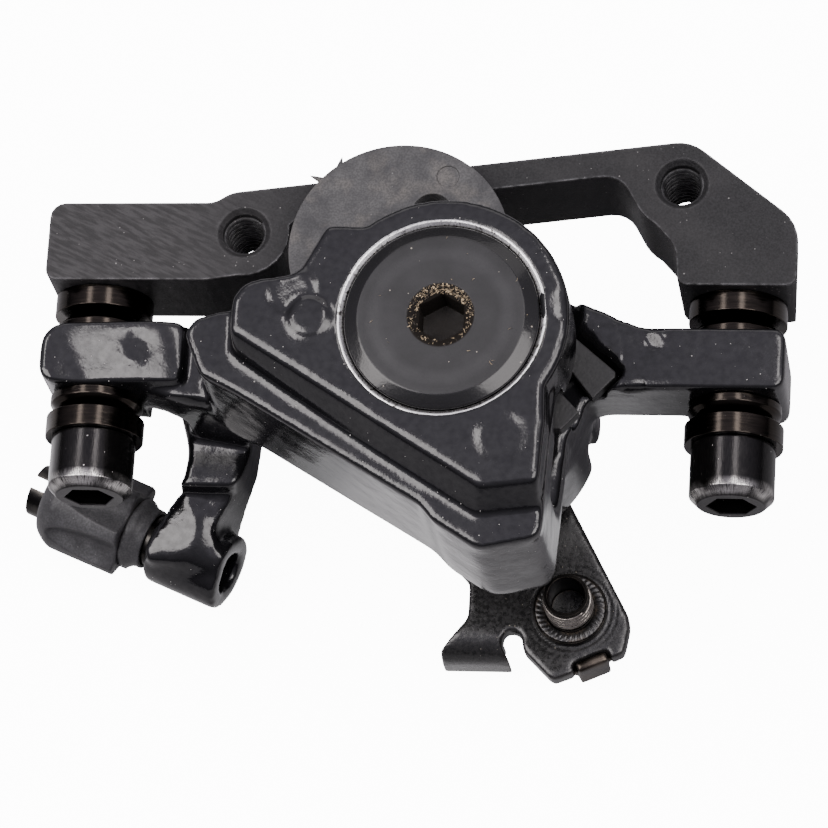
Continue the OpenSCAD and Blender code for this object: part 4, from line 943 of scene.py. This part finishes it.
# %% Torn points
def torn_points():
    """Squares in rows from the base to the tip: the width falls with a power of the way out."""
    base = np.array([[-16.35, 22.0, 0.2], [-14.75, 23.85, 0.3]])
    tip = np.array([[-18.2, 22.7, 0.5], [-14.5, 25.0, 0.7]])
    way = np.linspace(0, 1, 6)
    width = np.array([0.42, 0.34])[:, None] * (1 - way) ** 0.8
    out = tip - base
    across = np.cross(out, [0, 0, 1.0])
    across /= np.linalg.norm(across, axis=1, keepdims=True)
    corner = np.array([[-1, -0.7], [1, -0.7], [1, 0.7], [-1, 0.7]])
    square = corner[:, :1] * across[:, None, None] + corner[:, 1:] * np.array([0, 0, 1.0])
    return base[:, None, None] + way[:, None, None] * out[:, None, None] + width[..., None, None] * square


flash = surface("spacer_flash", torn_points(), "spacer", spacer_grey, wrap_cols=True)
print("flash:", len(flash.data.polygons), "faces")

# %% [markdown]
# ## Pads and inner pieces
# Only the pads' tabs show from outside, but the caliper can be opened, so every inner piece gets its own
# finish too: pressed compound, rubber, bronze, ground steel and magnet.

# %% Pads and the rest
def grainy(name, dark, light, rough, metal, scale, depth):
    material, tree, shader = start(name, dark, rough, metal)
    fine = use(tree, grain, Scale=scale, Detail=4.0)["Value"]
    specks = use(tree, dust, Scale=scale * 0.6, Share=0.4, Size=0.16)["Mask"]
    tone = blend_colours(tree, ramp(tree, fine, 0.35, 0.7), (*dark, 1), (*light, 1))
    # Pale specks lifted fourfold are painted glints, a painted highlight in the grain.
    painted_glint = tuple(min(1, 4 * c) for c in light) + (1,)
    tone = blend_colours(tree, sums(tree, "MULTIPLY", specks, 0.35), tone, painted_glint)
    tree.links.new(tone, shader.inputs["Base Color"])
    dull = ramp(tree, fine, 0.3, 0.75, rough * 0.8, min(1.0, rough * 1.2))
    tree.links.new(dull, shader.inputs["Roughness"])
    bump(tree, shader, (fine, depth))
    return material


pad_plate_black = grainy("pad_plate_black", (0.008, 0.008, 0.008), (0.02, 0.02, 0.02),
                         0.55, 0.0, 2400.0, 0.00004)
pressed_compound = grainy("pressed_compound", (0.05, 0.042, 0.034), (0.13, 0.11, 0.085),
                          0.8, 0.0, 1800.0, 0.00006)
ground_steel = grainy("ground_steel", (0.4, 0.4, 0.4), (0.62, 0.61, 0.6), 0.25, 1.0, 3000.0, 0.000006)
soft_rubber = grainy("soft_rubber", (0.008, 0.008, 0.008), (0.016, 0.016, 0.016), 0.62, 0.0, 2600.0, 0.00001)
bearing_bronze = grainy("bearing_bronze", (0.34, 0.2, 0.09), (0.5, 0.32, 0.15), 0.34, 1.0, 2200.0, 0.000008)
plated_magnet = grainy("plated_magnet", (0.45, 0.44, 0.42), (0.6, 0.59, 0.57), 0.22, 1.0, 1600.0, 0.000006)
drawn_wire = grainy("drawn_wire", (0.22, 0.22, 0.22), (0.4, 0.39, 0.38), 0.3, 1.0, 2600.0, 0.000008)
for pad in ("inboard_pad_plate", "outboard_pad_plate"):
    rounded(pad, pad + "_stamped", pad_plate_black, 0.18)
plain_finish = {
    "inboard_pad_lining": pressed_compound, "outboard_pad_lining": pressed_compound,
    "pressure_foot": ground_steel, "ramp_balls": ground_steel, "thrust_washer": ground_steel,
    "adjuster_o_ring": soft_rubber, "dust_seal": soft_rubber, "shaft_bush": bearing_bronze,
    "inboard_magnet": plated_magnet, "outboard_magnet": plated_magnet,
}
for node, finish in plain_finish.items():
    nodes[node].data.materials.clear()
    nodes[node].data.materials.append(finish)

# %% [markdown]
# ## The return spring
# A torsion spring of round wire turns two and a half times round the housing and ends in two legs. The
# drawn one is made of straight bits, so the wire is made again as a tube: a circle carried along a path of
# leg, coil and leg whose corners are softened by averaging each point with its neighbours.

# %% Coiled wire
def spring_wire(wire_r=0.65, coil_r=10.2, sides=12):
    """A circle along a polar path: a radial leg, a helix that falls evenly, then a leg straight down."""
    leg, coil, end = np.linspace(14.3, 10.7, 10), np.linspace(0.0, 2.5, 150), np.linspace(0.3, 3.95, 10)
    turn = np.radians(np.concatenate([np.full(10, -11.0), -11 + 360 * coil, np.full(10, 892.0)]))
    radius = np.concatenate([leg, np.full(160, coil_r)])
    height = np.concatenate([np.full(10, -17.45), -17.45 - 1.9 * coil, -22.2 - end])
    path = radius[:, None] * ring_dirs(turn)
    path[:, 2] = height
    for _ in range(3):
        path[1:-1] = 0.25 * path[:-2] + 0.5 * path[1:-1] + 0.25 * path[2:]
    ahead = np.gradient(path, axis=0)
    ahead /= np.linalg.norm(ahead, axis=1, keepdims=True)
    side = np.cross(ahead, [0, 0, 1.0]) + 0.05 * ring_dirs(turn)
    side -= ahead * np.sum(side * ahead, axis=1, keepdims=True)
    side /= np.linalg.norm(side, axis=1, keepdims=True)
    around = np.linspace(0, 2 * np.pi, sides, endpoint=False)[None, :, None]
    circle = np.cos(around) * side[:, None] + np.sin(around) * np.cross(side, ahead)[:, None]
    return path[:, None] + wire_r * circle


spring = surface("spring_coils", spring_wire(), node_body["return_spring"], drawn_wire,
                 wrap_cols=True)
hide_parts("return_spring")
print("spring:", len(spring.data.polygons), "faces")
